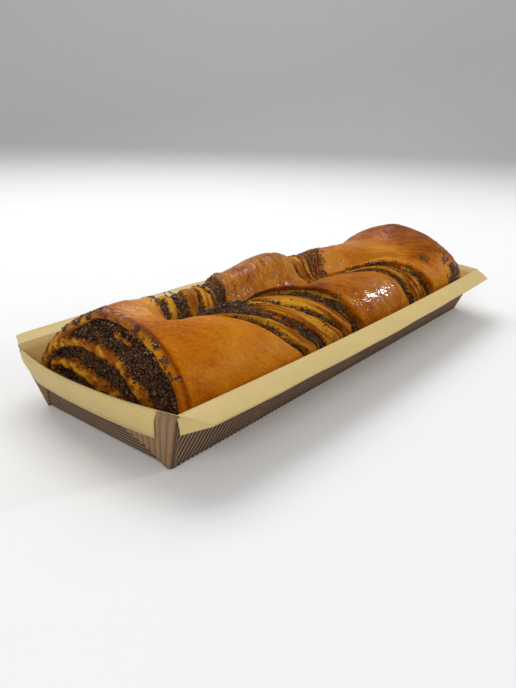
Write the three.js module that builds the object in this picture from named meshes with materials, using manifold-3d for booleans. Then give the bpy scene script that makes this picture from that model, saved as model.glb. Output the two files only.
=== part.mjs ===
// A twisted poppy seed roll in its corrugated paper baking tray.
//
// Millimetres, +Z up. X runs along the roll from the cut end (negative) to the
// whole end, Y from the front long side (negative) to the back. The origin is
// on the surface the tray stands on, under the middle of the tray.
//
// The roll is one surface of two parameters: u from 0 at the cut end to 5 at
// the whole end, and phi, the angle round the roll's axis in degrees (0 up,
// -90 front, 90 back, 180 down). Four seams cross it at u = 1, 2, 3 and 4.
// Crust lies between 0 and 1, 2 and 3, and 4 and 5; the two fans of opened
// layers lie between 1 and 2 and between 3 and 4.

import * as THREE from "three";
import { mergeVertices } from "three/addons/utils/BufferGeometryUtils.js";
import Module from "manifold-3d";

// ---------------------------------------------------------------- tray sizes
const TRAY_TOP_LENGTH = 310;
const TRAY_TOP_WIDTH = 110;
const TRAY_BASE_LENGTH = 296;
const TRAY_BASE_WIDTH = 87;
const TRAY_HEIGHT = 31.4;
const PAPER = 1.0; // thickness of the corrugated sheet
const END_BULGE = 8.0; // how far the end walls bow out at the rim
const SIDE_BULGE = 3.2;
const RIB_PITCH = 2.8; // upright ribs of the long walls
const RIB_DEPTH = 0.5;
const END_RIB_PITCH = 2.1; // level ribs of the end walls
const HEM_WIDTH = 11; // cream hem folded out along the long sides
const HEM_FOOT = 1.8; // the ribs stop this far below its fold
const HEM_DROP = 18; // degrees below level
const HEM_END_DROP = 72; // its near right end is bent down this far
const HEM_BENT = 11; // over this length
const HEM_END_CUT = 7; // the hem's ends are cut back this far
const BAND_HEIGHT = 14.5; // cream hem folded down flat on the ends
const BAND_END = 46; // where the band stops short of the corner
const FLAP_REACH = 27; // corner flap folded round onto the end wall
const FLAP_FOOT = 3; // its width at the foot

// ---------------------------------------------------------------- roll sizes
const AXIS_Z = 22; // height of the roll's axis
const HALF_WIDTH = 48;
const FACE_X = -147; // middle of the cut end
const FACE_SKEW = 2.8; // the cut end stands a little askew
const END_X = 155; // tip of the whole end
const END_ROUND = 118; // where the whole end starts to close
const FLOOR_GAP = 0.4; // between the dough and the paper
const CRUST = 5; // dough outside the outermost layer of filling
const LAYER_GAP = 0.3; // between dough and filling
const FILLING_RECESS = 1.2; // the filling sits back from the cut end

// Height of the top above the axis, and the back's roundness exponent, along X.
const TOP_HEIGHT = [[-150, 38.5], [-140, 37.5], [-100, 38], [80, 38], [105, 38.5], [125, 39.5], [155, 38]];
const BACK_ROUNDNESS = [[-150, 1.3], [-120, 1.42], [-70, 1.7], [-40, 2.1], [155, 2.1]];
const FRONT_ROUNDNESS = 2.15;

// The X of each seam round the roll, as [phi, x].
const SEAMS = [
  // end of the near crust
  [[-180, -66], [-120, -60], [-90, -56], [-76, -68], [-64, -78], [-52, -89], [-44, -99], [-36, -111],
    [-28, -122], [-12, -118], [10, -109], [50, -100], [90, -95], [120, -88], [180, -66]],
  // lips of the middle crusts
  [[-180, -20], [-120, 0], [-90, 6], [-77, 0], [-64, -8], [-51, -17.5], [-40, -31], [-30, -48],
    [-22, -60], [-12, -66], [0, -66], [20, -59], [50, -46], [90, -40], [120, -34], [180, -20]],
  // ends of the middle crusts
  [[-180, 42], [-120, 62], [-90, 68], [-75, 62], [-60, 54], [-45, 42], [-30, 26], [-14, 9],
    [0, 3], [20, 8], [50, 12], [90, 16], [120, 22], [180, 42]],
  // lips of the far crusts
  [[-180, 76], [-120, 98], [-90, 102], [-75, 93], [-60, 80], [-46, 65], [-34, 50], [-24, 37],
    [-14, 27], [0, 24], [20, 36], [50, 46], [90, 52], [120, 58], [180, 76]],
];

// Bands of filling that open in each fan, as [phi, start, end] in parts of the fan's width.
const FANS = [
  [
    [[-180, 0.01, 0.07], [-90, 0.01, 0.07], [-50, 0.01, 0.08], [-30, 0.01, 0.05], [0, 0.05, 0.34], [180, 0.05, 0.34]],
    [[-180, 0.25, 0.4], [-90, 0.25, 0.4], [-50, 0.17, 0.31], [-34, 0.12, 0.58], [-20, 0.12, 0.62],
      [0, 0.48, 0.57], [180, 0.48, 0.57]],
    [[-180, 0.7, 0.77], [-90, 0.7, 0.77], [-50, 0.46, 0.54], [-30, 0.64, 0.69], [0, 0.7, 0.79], [180, 0.7, 0.79]],
    [[-180, 0.86, 0.97], [-90, 0.86, 0.97], [-50, 0.78, 0.95], [-30, 0.8, 0.96], [0, 0.88, 0.98], [180, 0.88, 0.98]],
  ],
  [
    [[-180, 0.06, 0.42], [-90, 0.06, 0.42], [-58, 0.02, 0.34], [-30, 0.02, 0.3], [0, 0.02, 0.14], [180, 0.02, 0.14]],
    [[-180, 0.74, 0.95], [-90, 0.74, 0.95], [-58, 0.64, 0.9], [-30, 0.62, 0.93], [0, 0.6, 0.92], [180, 0.6, 0.92]],
  ],
];
const PLY_RISE = 2.4; // how far a ply of dough stands proud of the filling

// The groove between the front and back lumps: its phi along X, depth and half-widths.
const VALLEY_PHI = [[-150, -27], [-120, -26], [-100, -20], [-80, -16], [-60, -14], [80, -12], [122, -8], [155, -8]];
const VALLEY_DEPTH = 13;
const VALLEY_FRONT_WIDTH = [[-120, 9], [-95, 11], [-60, 15], [-30, 19], [60, 17]];
const VALLEY_BACK_WIDTH = 17;

// Inner layers in the roll's section: middle, half-width and height of each arch.
const ARCH_Z = 20;
const OUTER_LAYER_INSIDE = { y: 5.5, a: 34.5, b: 23 };
const INNER_LAYER_OUTSIDE = { y: 5.5, a: 31, b: 19 };
const INNER_LAYER_INSIDE = { y: 10.5, a: 24.5, b: 10 };
const CORE = { y: 14.5, a: 18.5, b: 5.5 };
const INNER_LAYER_FAR_X = 60;
const CORE_FAR_X = 76;
const LAYER_CLOSE = 0.15; // the outermost layer closes to this share of its arch at its far end
const LAYER_SHRINK = 0.56; // the arches are lower under the valley

const SEED_CLUMPS = 22;
const SEED_CLUMP_SIZE = 1.5;

const WELD = 0.012;
const SLIVER = 0.004;
const DEG = Math.PI / 180;

// ------------------------------------------------------------------- helpers
const wasm = await Module();
wasm.setup();

const clamp = THREE.MathUtils.clamp;
const lerp = THREE.MathUtils.lerp;
const smooth = (t) => THREE.MathUtils.smoothstep(t, 0, 1);

// Straight-line reading of a table of [x, y].
function linear(table, x, column = 1) {
  if (x <= table[0][0]) return table[0][column];
  for (let i = 1; i < table.length; i++)
    if (x <= table[i][0]) {
      const t = (x - table[i - 1][0]) / (table[i][0] - table[i - 1][0]);
      return lerp(table[i - 1][column], table[i][column], t);
    }
  return table[table.length - 1][column];
}

// Smooth reading of a table of [x, y]: a cubic between the points, with the slope of its neighbours at each.
function spline(table, x) {
  const last = table.length - 1;
  const at = clamp(x, table[0][0], table[last][0]);
  let i = 0;
  while (i < last - 1 && at > table[i + 1][0]) i++;
  const slope = (j) => {
    const a = table[Math.max(j - 1, 0)];
    const b = table[Math.min(j + 1, last)];
    return (b[1] - a[1]) / (b[0] - a[0]);
  };
  const h = table[i + 1][0] - table[i][0];
  const t = (at - table[i][0]) / h;
  return (
    (2 * t ** 3 - 3 * t ** 2 + 1) * table[i][1] +
    (t ** 3 - 2 * t ** 2 + t) * h * slope(i) +
    (-2 * t ** 3 + 3 * t ** 2) * table[i + 1][1] +
    (t ** 3 - t ** 2) * h * slope(i + 1)
  );
}

// A closed surface through rings of equally many points, capped at both end rings.
function loft(rings, capFaces = flatCap) {
  const n = rings[0].length;
  const positions = rings.flat().flatMap((p) => [p.x, p.y, p.z]);
  const index = [];
  for (let k = 0; k + 1 < rings.length; k++)
    for (let j = 0; j < n; j++) {
      const a = k * n + j;
      const b = k * n + ((j + 1) % n);
      index.push(a, b, a + n, b, b + n, a + n);
    }
  capFaces(rings[0]).forEach(([a, b, c]) => index.push(a, c, b));
  const top = (rings.length - 1) * n;
  capFaces(rings[rings.length - 1]).forEach(([a, b, c]) => index.push(top + a, top + b, top + c));
  const geometry = new THREE.BufferGeometry();
  geometry.setAttribute("position", new THREE.Float32BufferAttribute(positions, 3));
  geometry.setIndex(index);
  return geometry;
}

// A cap for a ring that is a thin arch: out along one side and back along the other.
function archCap(ring) {
  const half = ring.length / 2;
  const faces = [];
  for (let i = 0; i + 1 < half; i++) {
    const j = ring.length - 1 - i;
    faces.push([i, i + 1, j], [i + 1, j - 1, j]);
  }
  return faces;
}

// A cap for any other ring, found in the plane that the ring lies in.
function flatCap(ring) {
  const normal = new THREE.Vector3();
  const middle = new THREE.Vector3();
  ring.forEach((p, i) => {
    const q = ring[(i + 1) % ring.length];
    normal.x += (p.y - q.y) * (p.z + q.z);
    normal.y += (p.z - q.z) * (p.x + q.x);
    normal.z += (p.x - q.x) * (p.y + q.y);
    middle.addScaledVector(p, 1 / ring.length);
  });
  normal.normalize();
  const flat = new THREE.Quaternion().setFromUnitVectors(normal, new THREE.Vector3(0, 0, 1));
  const outline = ring.map((p) => {
    const q = p.clone().sub(middle).applyQuaternion(flat);
    return new THREE.Vector2(q.x, q.y);
  });
  return THREE.ShapeUtils.triangulateShape(outline, []);
}

// A closed geometry as a solid, turned outward whichever way its rings ran.
function solid(geometry) {
  const bare = geometry.clone();
  bare.deleteAttribute("normal");
  bare.deleteAttribute("uv");
  const merged = mergeVertices(bare, 1e-4);
  const make = (triVerts) =>
    new wasm.Manifold(
      new wasm.Mesh({ numProp: 3, vertProperties: merged.attributes.position.array, triVerts }),
    );
  const all = merged.index.array;
  const kept = [];
  for (let i = 0; i < all.length; i += 3)
    if (all[i] !== all[i + 1] && all[i + 1] !== all[i + 2] && all[i + 2] !== all[i])
      kept.push(all[i], all[i + 1], all[i + 2]);
  const faces = Uint32Array.from(kept);
  const made = make(faces);
  if (made.volume() > 0) return made;
  for (let i = 0; i < faces.length; i += 3) [faces[i], faces[i + 1]] = [faces[i + 1], faces[i]];
  return make(faces);
}

const join = (solids) => solids.reduce((whole, piece) => whole.add(piece));

// A solid's faces with every edge shorter than WELD closed up and every flat sliver turned into its neighbour.
function geometryOf(made) {
  const { vertProperties, triVerts } = made.getMesh();
  const point = (i) => new THREE.Vector3().fromArray(vertProperties, 3 * i);
  const home = Array.from({ length: vertProperties.length / 3 }, (_, i) => i);
  const root = (i) => (home[i] === i ? i : root(home[i]));
  const faces = [];
  for (let i = 0; i < triVerts.length; i += 3) faces.push([...triVerts.slice(i, i + 3)]);
  for (const face of faces)
    face.forEach((a, i) => {
      const b = face[(i + 1) % 3];
      if (point(a).distanceTo(point(b)) < WELD) home[root(a)] = root(b);
    });
  const kept = new Map();
  for (const face of faces) {
    const turned = face.map(root);
    if (new Set(turned).size < 3) continue;
    const key = [...turned].sort((a, b) => a - b).join();
    if (kept.has(key)) kept.delete(key);
    else kept.set(key, turned);
  }
  const whole = [...kept.values()];
  flipSlivers(whole, point);
  const geometry = new THREE.BufferGeometry();
  geometry.setAttribute("position", new THREE.BufferAttribute(new Float32Array(vertProperties), 3));
  geometry.setIndex(whole.flat());
  geometry.computeVertexNormals();
  return geometry;
}

// Swaps the long edge of each triangle that is flatter than SLIVER for the other diagonal of its pair.
function flipSlivers(faces, point) {
  const owner = new Map();
  const own = (f) => faces[f].forEach((a, i) => owner.set(a + "," + faces[f][(i + 1) % 3], f));
  faces.forEach((_, f) => own(f));
  for (let f = 0; f < faces.length; f++) {
    const face = faces[f];
    const lengths = face.map((a, i) => point(a).distanceTo(point(face[(i + 1) % 3])));
    const i = lengths.indexOf(Math.max(...lengths));
    const [a, b, c] = [face[i], face[(i + 1) % 3], face[(i + 2) % 3]];
    const across = point(b).sub(point(a)).cross(point(c).sub(point(a))).length() / lengths[i];
    const g = owner.get(b + "," + a);
    if (across > SLIVER || g === undefined) continue;
    const d = faces[g].find((v) => v !== a && v !== b);
    if (owner.has(c + "," + d) || owner.has(d + "," + c)) continue;
    owner.delete(a + "," + b);
    owner.delete(b + "," + a);
    faces[f] = [a, d, c];
    faces[g] = [d, b, c];
    own(f);
    own(g);
  }
}

// ---------------------------------------------------------- the roll's surface
const seamAt = (k, phi) => {
  if (k === 0) return FACE_X - FACE_SKEW * Math.sin(phi * DEG);
  if (k === 5) return END_X;
  return spline(SEAMS[k - 1], phi);
};

// Distance from the axis to the plain arched section.
function baseRadius(x, phi) {
  const s = Math.abs(Math.sin(phi * DEG));
  const c = Math.cos(phi * DEG);
  const top = spline(TOP_HEIGHT, x);
  if (c > 0) {
    const n = phi < 0 ? FRONT_ROUNDNESS : spline(BACK_ROUNDNESS, x);
    return ((s / HALF_WIDTH) ** n + (c / top) ** n) ** (-1 / n);
  }
  const under = ((s / HALF_WIDTH) ** 3 + (-c / 24) ** 3) ** (-1 / 3);
  return Math.min(under, (AXIS_Z - PAPER - FLOOR_GAP) / Math.max(-c, 1e-6));
}

// A crust's crown at 0, falling with a quarter round to -startDrop at its lip and -endDrop at its end.
function crown(x, start, end, lip, fall, startDrop, endDrop) {
  const t = clamp((x - start) / lip, 0, 1);
  const v = clamp((end - x) / fall, 0, 1);
  return -startDrop * (1 - Math.sqrt(1 - (1 - t) ** 2)) - endDrop * (1 - Math.sqrt(1 - (1 - v) ** 2));
}

// Edges of a fan's plies and bands, in parts of its width: odd gaps between them are filling.
function fanEdges(fan, phi) {
  const edges = [0];
  for (const band of fan) edges.push(linear(band, phi, 1), linear(band, phi, 2));
  edges.push(1);
  return edges;
}

// Height of the crust or the layers over the plain section, at part v of the stretch k.
function relief(k, v, x, phi, seams) {
  const valley = linear(VALLEY_PHI, x);
  const back = smooth((phi - (valley - 6)) / 12);
  const front = 1 - back;
  if (k === 0) return -(2.5 - back) * smooth((x - seams[1] + 18) / 18);
  if (k === 1) {
    const nearTop = smooth((phi + 60) / 35) * front;
    return front * (-4.5 - 3.5 * v - 1.5 * nearTop) + back * (-5 - 2 * v);
  }
  if (k === 2) {
    const sunk = -2 - 2 * (1 - smooth((x - seams[2]) / 50));
    return (
      front * (sunk + crown(x, seams[2], seams[3], 6, 34, 4, 5)) +
      back * crown(x, seams[2], seams[3], 6, 30, 7, 7)
    );
  }
  if (k === 3) return -7 + v - 0.5 * back;
  return (
    front * (crown(x, seams[4], END_X + 99, 7, 1, 4, 0) - 2 * (1 - smooth((x - seams[4]) / 30))) +
    back * (crown(x, seams[4], END_X + 99, 6, 1, 5.5, 0) - 5.5 * (1 - smooth((x - 74) / 56)))
  );
}

// The surface itself, as { x, r }; plyRise adds the height of a ply's crest.
function rollPoint(u, phi, plyRise = 0) {
  const k = Math.min(Math.floor(u), 4);
  const seams = [0, 1, 2, 3, 4, 5].map((i) => seamAt(i, phi));
  const x = lerp(seams[k], seams[k + 1], u - k);
  const upper = smooth((Math.cos(phi * DEG) + 0.35) / 0.4);
  const off = phi - linear(VALLEY_PHI, x);
  const halfWidth = off < 0 ? linear(VALLEY_FRONT_WIDTH, x) : VALLEY_BACK_WIDTH;
  const gate = smooth((x + 130) / 22) * smooth((122 - x) / 50);
  let r = baseRadius(x, phi) + (relief(k, u - k, x, phi, seams) + plyRise) * upper;
  r -= VALLEY_DEPTH * gate * Math.exp(-((off / halfWidth) ** 2));
  r *= Math.sqrt(Math.max(1 - clamp((x - END_ROUND) / (END_X - END_ROUND), 0, 1) ** 3, 0));
  const rim = clamp((seams[0] + 5 - x) / 5, 0, 1);
  return { x, r: r - 3 * (1 - Math.sqrt(1 - rim ** 2)) };
}

const polar = (x, r, phi) => new THREE.Vector3(x, r * Math.sin(phi * DEG), AXIS_Z + r * Math.cos(phi * DEG));

// Stations along the roll: u, and the rise of the ply there. In a fan they are the middles of its bands and plies.
function stations() {
  const plain = (k, parts) => parts.map((v) => ({ u: () => k + v, rise: () => 0 }));
  const fan = (k, bands) =>
    Array.from({ length: 2 * bands.length }, (_, i) => {
      const edge = (phi) => fanEdges(bands, phi).slice(i + 1, i + 3);
      const width = (phi) => (edge(phi)[1] - edge(phi)[0]) * (seamAt(k + 1, phi) - seamAt(k, phi));
      return {
        u: (phi) => k + (edge(phi)[0] + edge(phi)[1]) / 2,
        rise: (phi) => (i % 2 ? Math.min(PLY_RISE, 0.42 * width(phi)) : 0),
      };
    });
  return [
    ...plain(0, [0, 0.05, 0.2, 0.5, 0.85, 0.998]),
    ...fan(1, FANS[0]),
    ...plain(2, [0, 0.04, 0.12, 0.35, 0.6, 0.82, 0.94, 0.998]),
    ...fan(3, FANS[1]),
    ...plain(4, [0, 0.06, 0.13, 0.35, 0.6, 0.76, 0.88, 0.95, 0.985, 0.998]),
  ];
}

const ROUND = [-180, -150, -125, -108, -96, -86, -77, -68, -60, -52, -45, -38, -32, -26, -20, -13, -6, 2, 10, 20, 30,
  42, 54, 66, 78, 90, 104, 125, 150];

const rollEnvelope = () =>
  solid(
    loft(
      stations().map(({ u, rise }) =>
        ROUND.map((phi) => {
          const { x, r } = rollPoint(u(phi), phi, rise(phi));
          return polar(x, r, phi);
        }),
      ),
    ),
  );

// ------------------------------------------------------------- the poppy filling
// Each piece of filling is made twice: at its own size, and grown by the layer gap to cut the dough.

// Points of an arch of the section, from its front foot over the top to its back foot.
function archPoints(x, arch, grow, steps, foot) {
  const shrink = lerp(1, LAYER_SHRINK, smooth((x - FACE_X) / 40));
  return Array.from({ length: steps + 1 }, (_, i) => {
    const angle = lerp(-foot, foot, i / steps) * DEG;
    return new THREE.Vector3(
      x,
      arch.y + (arch.a + grow) * Math.sin(angle),
      ARCH_Z + (arch.b * shrink + grow) * Math.cos(angle),
    );
  });
}

const LAYER_ROUND = [-112, -94, -78, -63, -50, -38, -26, -14, 0, 18, 38, 58, 78, 95, 112];

// Rings of the outermost layer: u outside, u inside, and whether the ring is at a band's height.
function layerStations(grow) {
  const plain = (list) => list.map((u) => ({ u: () => u, inside: () => u, raised: false }));
  const fan = (k, bands) =>
    bands.flatMap((_, i) => {
      const edge = (end) => (phi) => {
        const width = seamAt(k + 1, phi) - seamAt(k, phi);
        const reach = (grow - LAYER_GAP / 2) / width;
        return k + clamp(fanEdges(bands, phi)[2 * i + 1 + end] + (end ? reach : -reach), 0.001, 0.999);
      };
      const middle = (phi) => (edge(0)(phi) + edge(1)(phi)) / 2;
      return [
        { u: edge(0), inside: middle, raised: false },
        { u: edge(0), inside: middle, raised: true },
        { u: edge(1), inside: middle, raised: true },
        { u: edge(1), inside: middle, raised: false },
      ];
    });
  return [...plain([0.06, 0.4, 0.9]), ...fan(1, FANS[0]), ...plain([2.15, 2.75]), ...fan(3, FANS[1]), ...plain([4.05, 4.3])];
}

// The outermost layer follows the crust on its outside and rises to the surface as the bands of the fans.
function outerLayer(grow, faceX, outward) {
  const ring = (outsideX, insideX, radius, close = 1) => {
    const outside = LAYER_ROUND.map((phi) => polar(outsideX(phi), radius(phi), phi));
    const inside = LAYER_ROUND.map((phi, i) => {
      const angle = lerp(-103, 103, i / (LAYER_ROUND.length - 1)) * DEG;
      const x = insideX(phi);
      const shrink = lerp(1, LAYER_SHRINK, smooth((x - FACE_X) / 40));
      return new THREE.Vector3(
        x,
        OUTER_LAYER_INSIDE.y + (OUTER_LAYER_INSIDE.a - grow) * close * Math.sin(angle),
        ARCH_Z + (OUTER_LAYER_INSIDE.b * shrink - grow) * close * Math.cos(angle),
      );
    });
    return [...outside, ...inside.reverse()];
  };
  const below = CRUST - grow;
  const face = ring(() => faceX, () => faceX, (phi) => rollPoint(0, phi).r - below + 2);
  const rest = layerStations(grow).map(({ u, inside, raised }, i, all) =>
    ring(
      (phi) => Math.max(rollPoint(u(phi), phi).x, FACE_X + 6),
      (phi) => Math.max(rollPoint(inside(phi), phi).x, FACE_X + 6),
      (phi) => rollPoint(u(phi), phi).r + (raised ? outward : -below),
      i === all.length - 1 ? LAYER_CLOSE : 1,
    ),
  );
  return solid(loft([face, ...rest], archCap));
}

const LAYER_X = [-125, -105, -50];

function innerLayer(grow, faceX) {
  return solid(
    loft(
      [faceX, ...LAYER_X, INNER_LAYER_FAR_X].map((x) => [
        ...archPoints(x, INNER_LAYER_OUTSIDE, grow, 11, 105),
        ...archPoints(x, INNER_LAYER_INSIDE, -grow, 11, 105).reverse(),
      ]),
      archCap,
    ),
  );
}

function coreLayer(grow, faceX) {
  return solid(loft([faceX, ...LAYER_X, CORE_FAR_X].map((x) => archPoints(x, CORE, grow, 11, 165))));
}

const fillingPieces = (grow, faceX, outward) => [
  outerLayer(grow, faceX, outward),
  innerLayer(grow, faceX),
  coreLayer(grow, faceX),
];

// --------------------------------------------------------------------- the tray
// A point of the tray's outer face: t from -1 to 1 along the wall, at height z, moved out by `out`.
function wallPoint(side, t, z, out) {
  const rise = z / TRAY_HEIGHT;
  const halfLength = lerp(TRAY_BASE_LENGTH, TRAY_TOP_LENGTH, rise) / 2;
  const halfWidth = lerp(TRAY_BASE_WIDTH, TRAY_TOP_WIDTH, rise) / 2;
  const bow = (1 - t * t) * rise;
  if (side === "front") return new THREE.Vector3(t * halfLength, -(halfWidth + SIDE_BULGE * bow + out), z);
  if (side === "back") return new THREE.Vector3(-t * halfLength, halfWidth + SIDE_BULGE * bow + out, z);
  if (side === "near") return new THREE.Vector3(-(halfLength + END_BULGE * bow + out), -t * halfWidth, z);
  return new THREE.Vector3(halfLength + END_BULGE * bow + out, t * halfWidth, z);
}

const evenly = (from, to, steps) => Array.from({ length: steps + 1 }, (_, i) => lerp(from, to, i / steps));

// A long wall: ribbed outside, plain inside.
function longWall(side) {
  const ribs = Math.round(TRAY_BASE_LENGTH / RIB_PITCH);
  const outside = evenly(-1, 1, 2 * ribs);
  const inside = evenly(1, -1, 8);
  return solid(
    loft(
      [0, TRAY_HEIGHT - HEM_FOOT].map((z) => [
        ...outside.map((t, i) => wallPoint(side, t, z, i % 2 ? RIB_DEPTH : 0)),
        ...inside.map((t) => wallPoint(side, t, z, -PAPER)),
      ]),
    ),
  );
}

// An end wall: level ribs below the band, plain above and inside.
function endWall(side) {
  const ribs = Math.ceil((TRAY_HEIGHT - BAND_HEIGHT) / END_RIB_PITCH);
  const levels = evenly(0, ribs * END_RIB_PITCH, 2 * ribs);
  return solid(
    loft(
      evenly(-1, 1, 8).map((t) => [
        ...levels.map((z, i) => wallPoint(side, t, z, i % 2 ? RIB_DEPTH : 0)),
        wallPoint(side, t, TRAY_HEIGHT, 0),
        wallPoint(side, t, TRAY_HEIGHT, -PAPER),
        wallPoint(side, t, 0, -PAPER),
      ]),
    ),
  );
}

function trayFloor() {
  const box = new THREE.BoxGeometry(TRAY_BASE_LENGTH - PAPER, TRAY_BASE_WIDTH - PAPER, PAPER);
  box.translate(0, 0, PAPER / 2);
  return solid(box);
}

// The flap folded round a corner onto an end wall: upright ribs, cut off slantwise at the foot.
function cornerFlap(side, corner) {
  const ribs = Math.round(FLAP_REACH / RIB_PITCH);
  const half = TRAY_BASE_WIDTH / 2;
  const top = TRAY_HEIGHT - BAND_HEIGHT + 1.5;
  return solid(
    loft(
      evenly(0, FLAP_REACH, 2 * ribs).map((reach, i) => {
        const t = corner * (1 - reach / half);
        const foot = Math.max(0, ((reach - FLAP_FOOT) / (FLAP_REACH - FLAP_FOOT)) * (top - 2));
        const out = PAPER + (i % 2 ? RIB_DEPTH : 0);
        return [
          wallPoint(side, t, foot, -PAPER / 2),
          wallPoint(side, t, top, -PAPER / 2),
          wallPoint(side, t, top, out),
          wallPoint(side, t, foot, out),
        ];
      }),
    ),
  );
}

// The hem along a long side. The near end of the front one is bent down.
function sideHem(side) {
  const away = side === "front" ? -1 : 1;
  const near = side === "front" ? -1 : 1;
  const steps = [-1, -0.975, -0.93, -0.8, -0.5, 0, 0.5, 0.8, 0.93, 0.975, 1];
  return solid(
    loft(
      steps.map((t) => {
        const fromNearEnd = ((1 - t * near) * TRAY_TOP_LENGTH) / 2;
        const bend = side === "front" ? 1 - smooth(fromNearEnd / HEM_BENT) : 0;
        const drop = lerp(HEM_DROP, HEM_END_DROP, bend) * DEG;
        const fold = wallPoint(side, t, TRAY_HEIGHT, 0);
        const cut = HEM_END_CUT * smooth((Math.abs(t) - 0.93) / 0.07) * (1 - bend);
        const tip = (thick) =>
          new THREE.Vector3(
            fold.x - Math.sign(fold.x) * cut,
            fold.y + away * (HEM_WIDTH * Math.cos(drop) - thick * Math.sin(drop)),
            fold.z - HEM_WIDTH * Math.sin(drop) - thick * Math.cos(drop),
          );
        const foot = TRAY_HEIGHT - HEM_FOOT - 0.4;
        return [
          wallPoint(side, t, foot, -0.25 * PAPER),
          wallPoint(side, t, TRAY_HEIGHT - PAPER, -0.25 * PAPER),
          tip(PAPER),
          tip(0),
          wallPoint(side, t, TRAY_HEIGHT, -0.75 * PAPER),
          wallPoint(side, t, foot, -0.75 * PAPER),
        ];
      }),
      archCap,
    ),
  );
}

// The hem of an end, folded down flat over the flaps.
function endBand(side) {
  const reach = BAND_END / (TRAY_TOP_WIDTH / 2);
  const span = side === "near" ? [-reach, 0.98] : [-0.98, reach];
  const low = TRAY_HEIGHT - BAND_HEIGHT;
  const back = PAPER + RIB_DEPTH + 0.1;
  return solid(
    loft(
      evenly(span[0], span[1], 8).map((t) => [
        wallPoint(side, -t, TRAY_HEIGHT - 2, -PAPER / 2),
        wallPoint(side, -t, TRAY_HEIGHT - 2, back),
        wallPoint(side, -t, low, back),
        wallPoint(side, -t, low, back + PAPER),
        wallPoint(side, -t, TRAY_HEIGHT, back + PAPER),
        wallPoint(side, -t, TRAY_HEIGHT, -PAPER / 2),
      ]),
      archCap,
    ),
  );
}

const trayPieces = () => [
  trayFloor(),
  longWall("front"),
  longWall("back"),
  endWall("near"),
  endWall("far"),
  ...["near", "far"].flatMap((side) => [-1, 1].map((corner) => cornerFlap(side, corner))),
  sideHem("front"),
  sideHem("back"),
  endBand("near"),
  endBand("far"),
];

// The room inside the tray that the dough may fill.
function trayRoom() {
  const inset = PAPER + FLOOR_GAP;
  const walls = ["front", "far", "back", "near"];
  const ring = (z) =>
    walls.flatMap((side) => {
      const corner = wallPoint(side, -1, z, 0);
      corner.x -= Math.sign(corner.x) * inset;
      corner.y -= Math.sign(corner.y) * inset;
      return [corner, ...evenly(-0.8, 0.8, 8).map((t) => wallPoint(side, t, z, -inset))];
    });
  return solid(loft([inset, TRAY_HEIGHT, 2 * TRAY_HEIGHT + 10].map(ring)));
}

// ------------------------------------------------------------------- seed clumps
// Clumps of seed stuck along the rim of the cut end, sunk half into the crust.
function rimClumps() {
  const random = (() => {
    let state = 7;
    return () => (state = (state * 16807) % 2147483647) / 2147483647;
  })();
  return Array.from({ length: SEED_CLUMPS }, (_, i) => {
    const phi = lerp(-78, 62, (i + 0.3 + 0.4 * random()) / SEED_CLUMPS);
    const { x, r } = rollPoint(0.03 + 0.04 * random(), phi);
    const clump = new THREE.IcosahedronGeometry(SEED_CLUMP_SIZE * (0.7 + 0.5 * random()), 0);
    const place = polar(x, r - 0.3, phi);
    clump.translate(place.x, place.y, place.z);
    return solid(clump);
  });
}

// ------------------------------------------------------------------------ object
const room = trayRoom();
const dough = join([rollEnvelope(), ...rimClumps()])
  .intersect(room)
  .subtract(join(fillingPieces(LAYER_GAP, FACE_X - 12, 4)));
const filling = join(fillingPieces(0, FACE_X + FILLING_RECESS, -0.7)).intersect(room);
const tray = join(trayPieces());

function mesh(name, made, material) {
  const object = new THREE.Mesh(geometryOf(made), new THREE.MeshStandardMaterial(material));
  object.name = name;
  return object;
}

const group = new THREE.Group();
group.add(
  mesh("dough", dough, { color: 0xa8691c, roughness: 0.38, metalness: 0 }),
  mesh("poppy_filling", filling, { color: 0x3a2c24, roughness: 0.7, metalness: 0 }),
  mesh("baking_tray", tray, { color: 0x8a6a50, roughness: 0.9, metalness: 0 }),
);

export default group;
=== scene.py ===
import itertools
import math

import bpy
import numpy as np
from bpy.props import FloatProperty, FloatVectorProperty, IntProperty, PointerProperty
from mathutils import Matrix, Vector


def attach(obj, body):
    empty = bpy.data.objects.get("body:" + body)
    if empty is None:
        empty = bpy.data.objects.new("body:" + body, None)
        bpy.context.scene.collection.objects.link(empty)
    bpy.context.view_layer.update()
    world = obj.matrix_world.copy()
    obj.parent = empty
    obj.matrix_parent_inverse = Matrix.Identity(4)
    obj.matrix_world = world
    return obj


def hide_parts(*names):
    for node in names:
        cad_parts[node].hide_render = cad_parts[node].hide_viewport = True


bl_info = {
    "name": "Poppy seed roll in a baking tray",
    "version": (1, 0, 0),
    "blender": (4, 5, 0),
    "location": "3D View > Sidebar > Poppy roll",
    "description": "Dresses a twisted poppy seed roll and its corrugated paper tray",
    "category": "Add Mesh",
}

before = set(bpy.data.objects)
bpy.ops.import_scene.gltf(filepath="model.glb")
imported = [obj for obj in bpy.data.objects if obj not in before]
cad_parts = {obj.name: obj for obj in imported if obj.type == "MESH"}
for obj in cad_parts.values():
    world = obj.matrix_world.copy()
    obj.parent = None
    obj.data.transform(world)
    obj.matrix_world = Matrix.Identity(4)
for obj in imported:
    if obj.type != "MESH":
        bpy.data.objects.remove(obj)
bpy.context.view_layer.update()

MM = 0.001
DEG = math.pi / 180
ARC_RADIUS = 40  # mean radius of the roll, which turns phi into a length round it
UNDER_DEPTH = 24  # half height of the rounded box below the roll's axis
FLOOR_GAP = 1.4  # the tray's floor and the gap between it and the dough
FULL_GROOVE = 13  # depth of the groove where it is whole
FAR_OFF = 99  # a distance that stands for "not here"
PICTURE_HEIGHT = 688  # pixels
SEEDS_PER_CELL = 4  # at most
FAN_HEAP, FACE_HEAP, STRAY_HEAP = 0.7, 0.9, 0.25  # how far seeds are raised, in parts of their length
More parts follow.
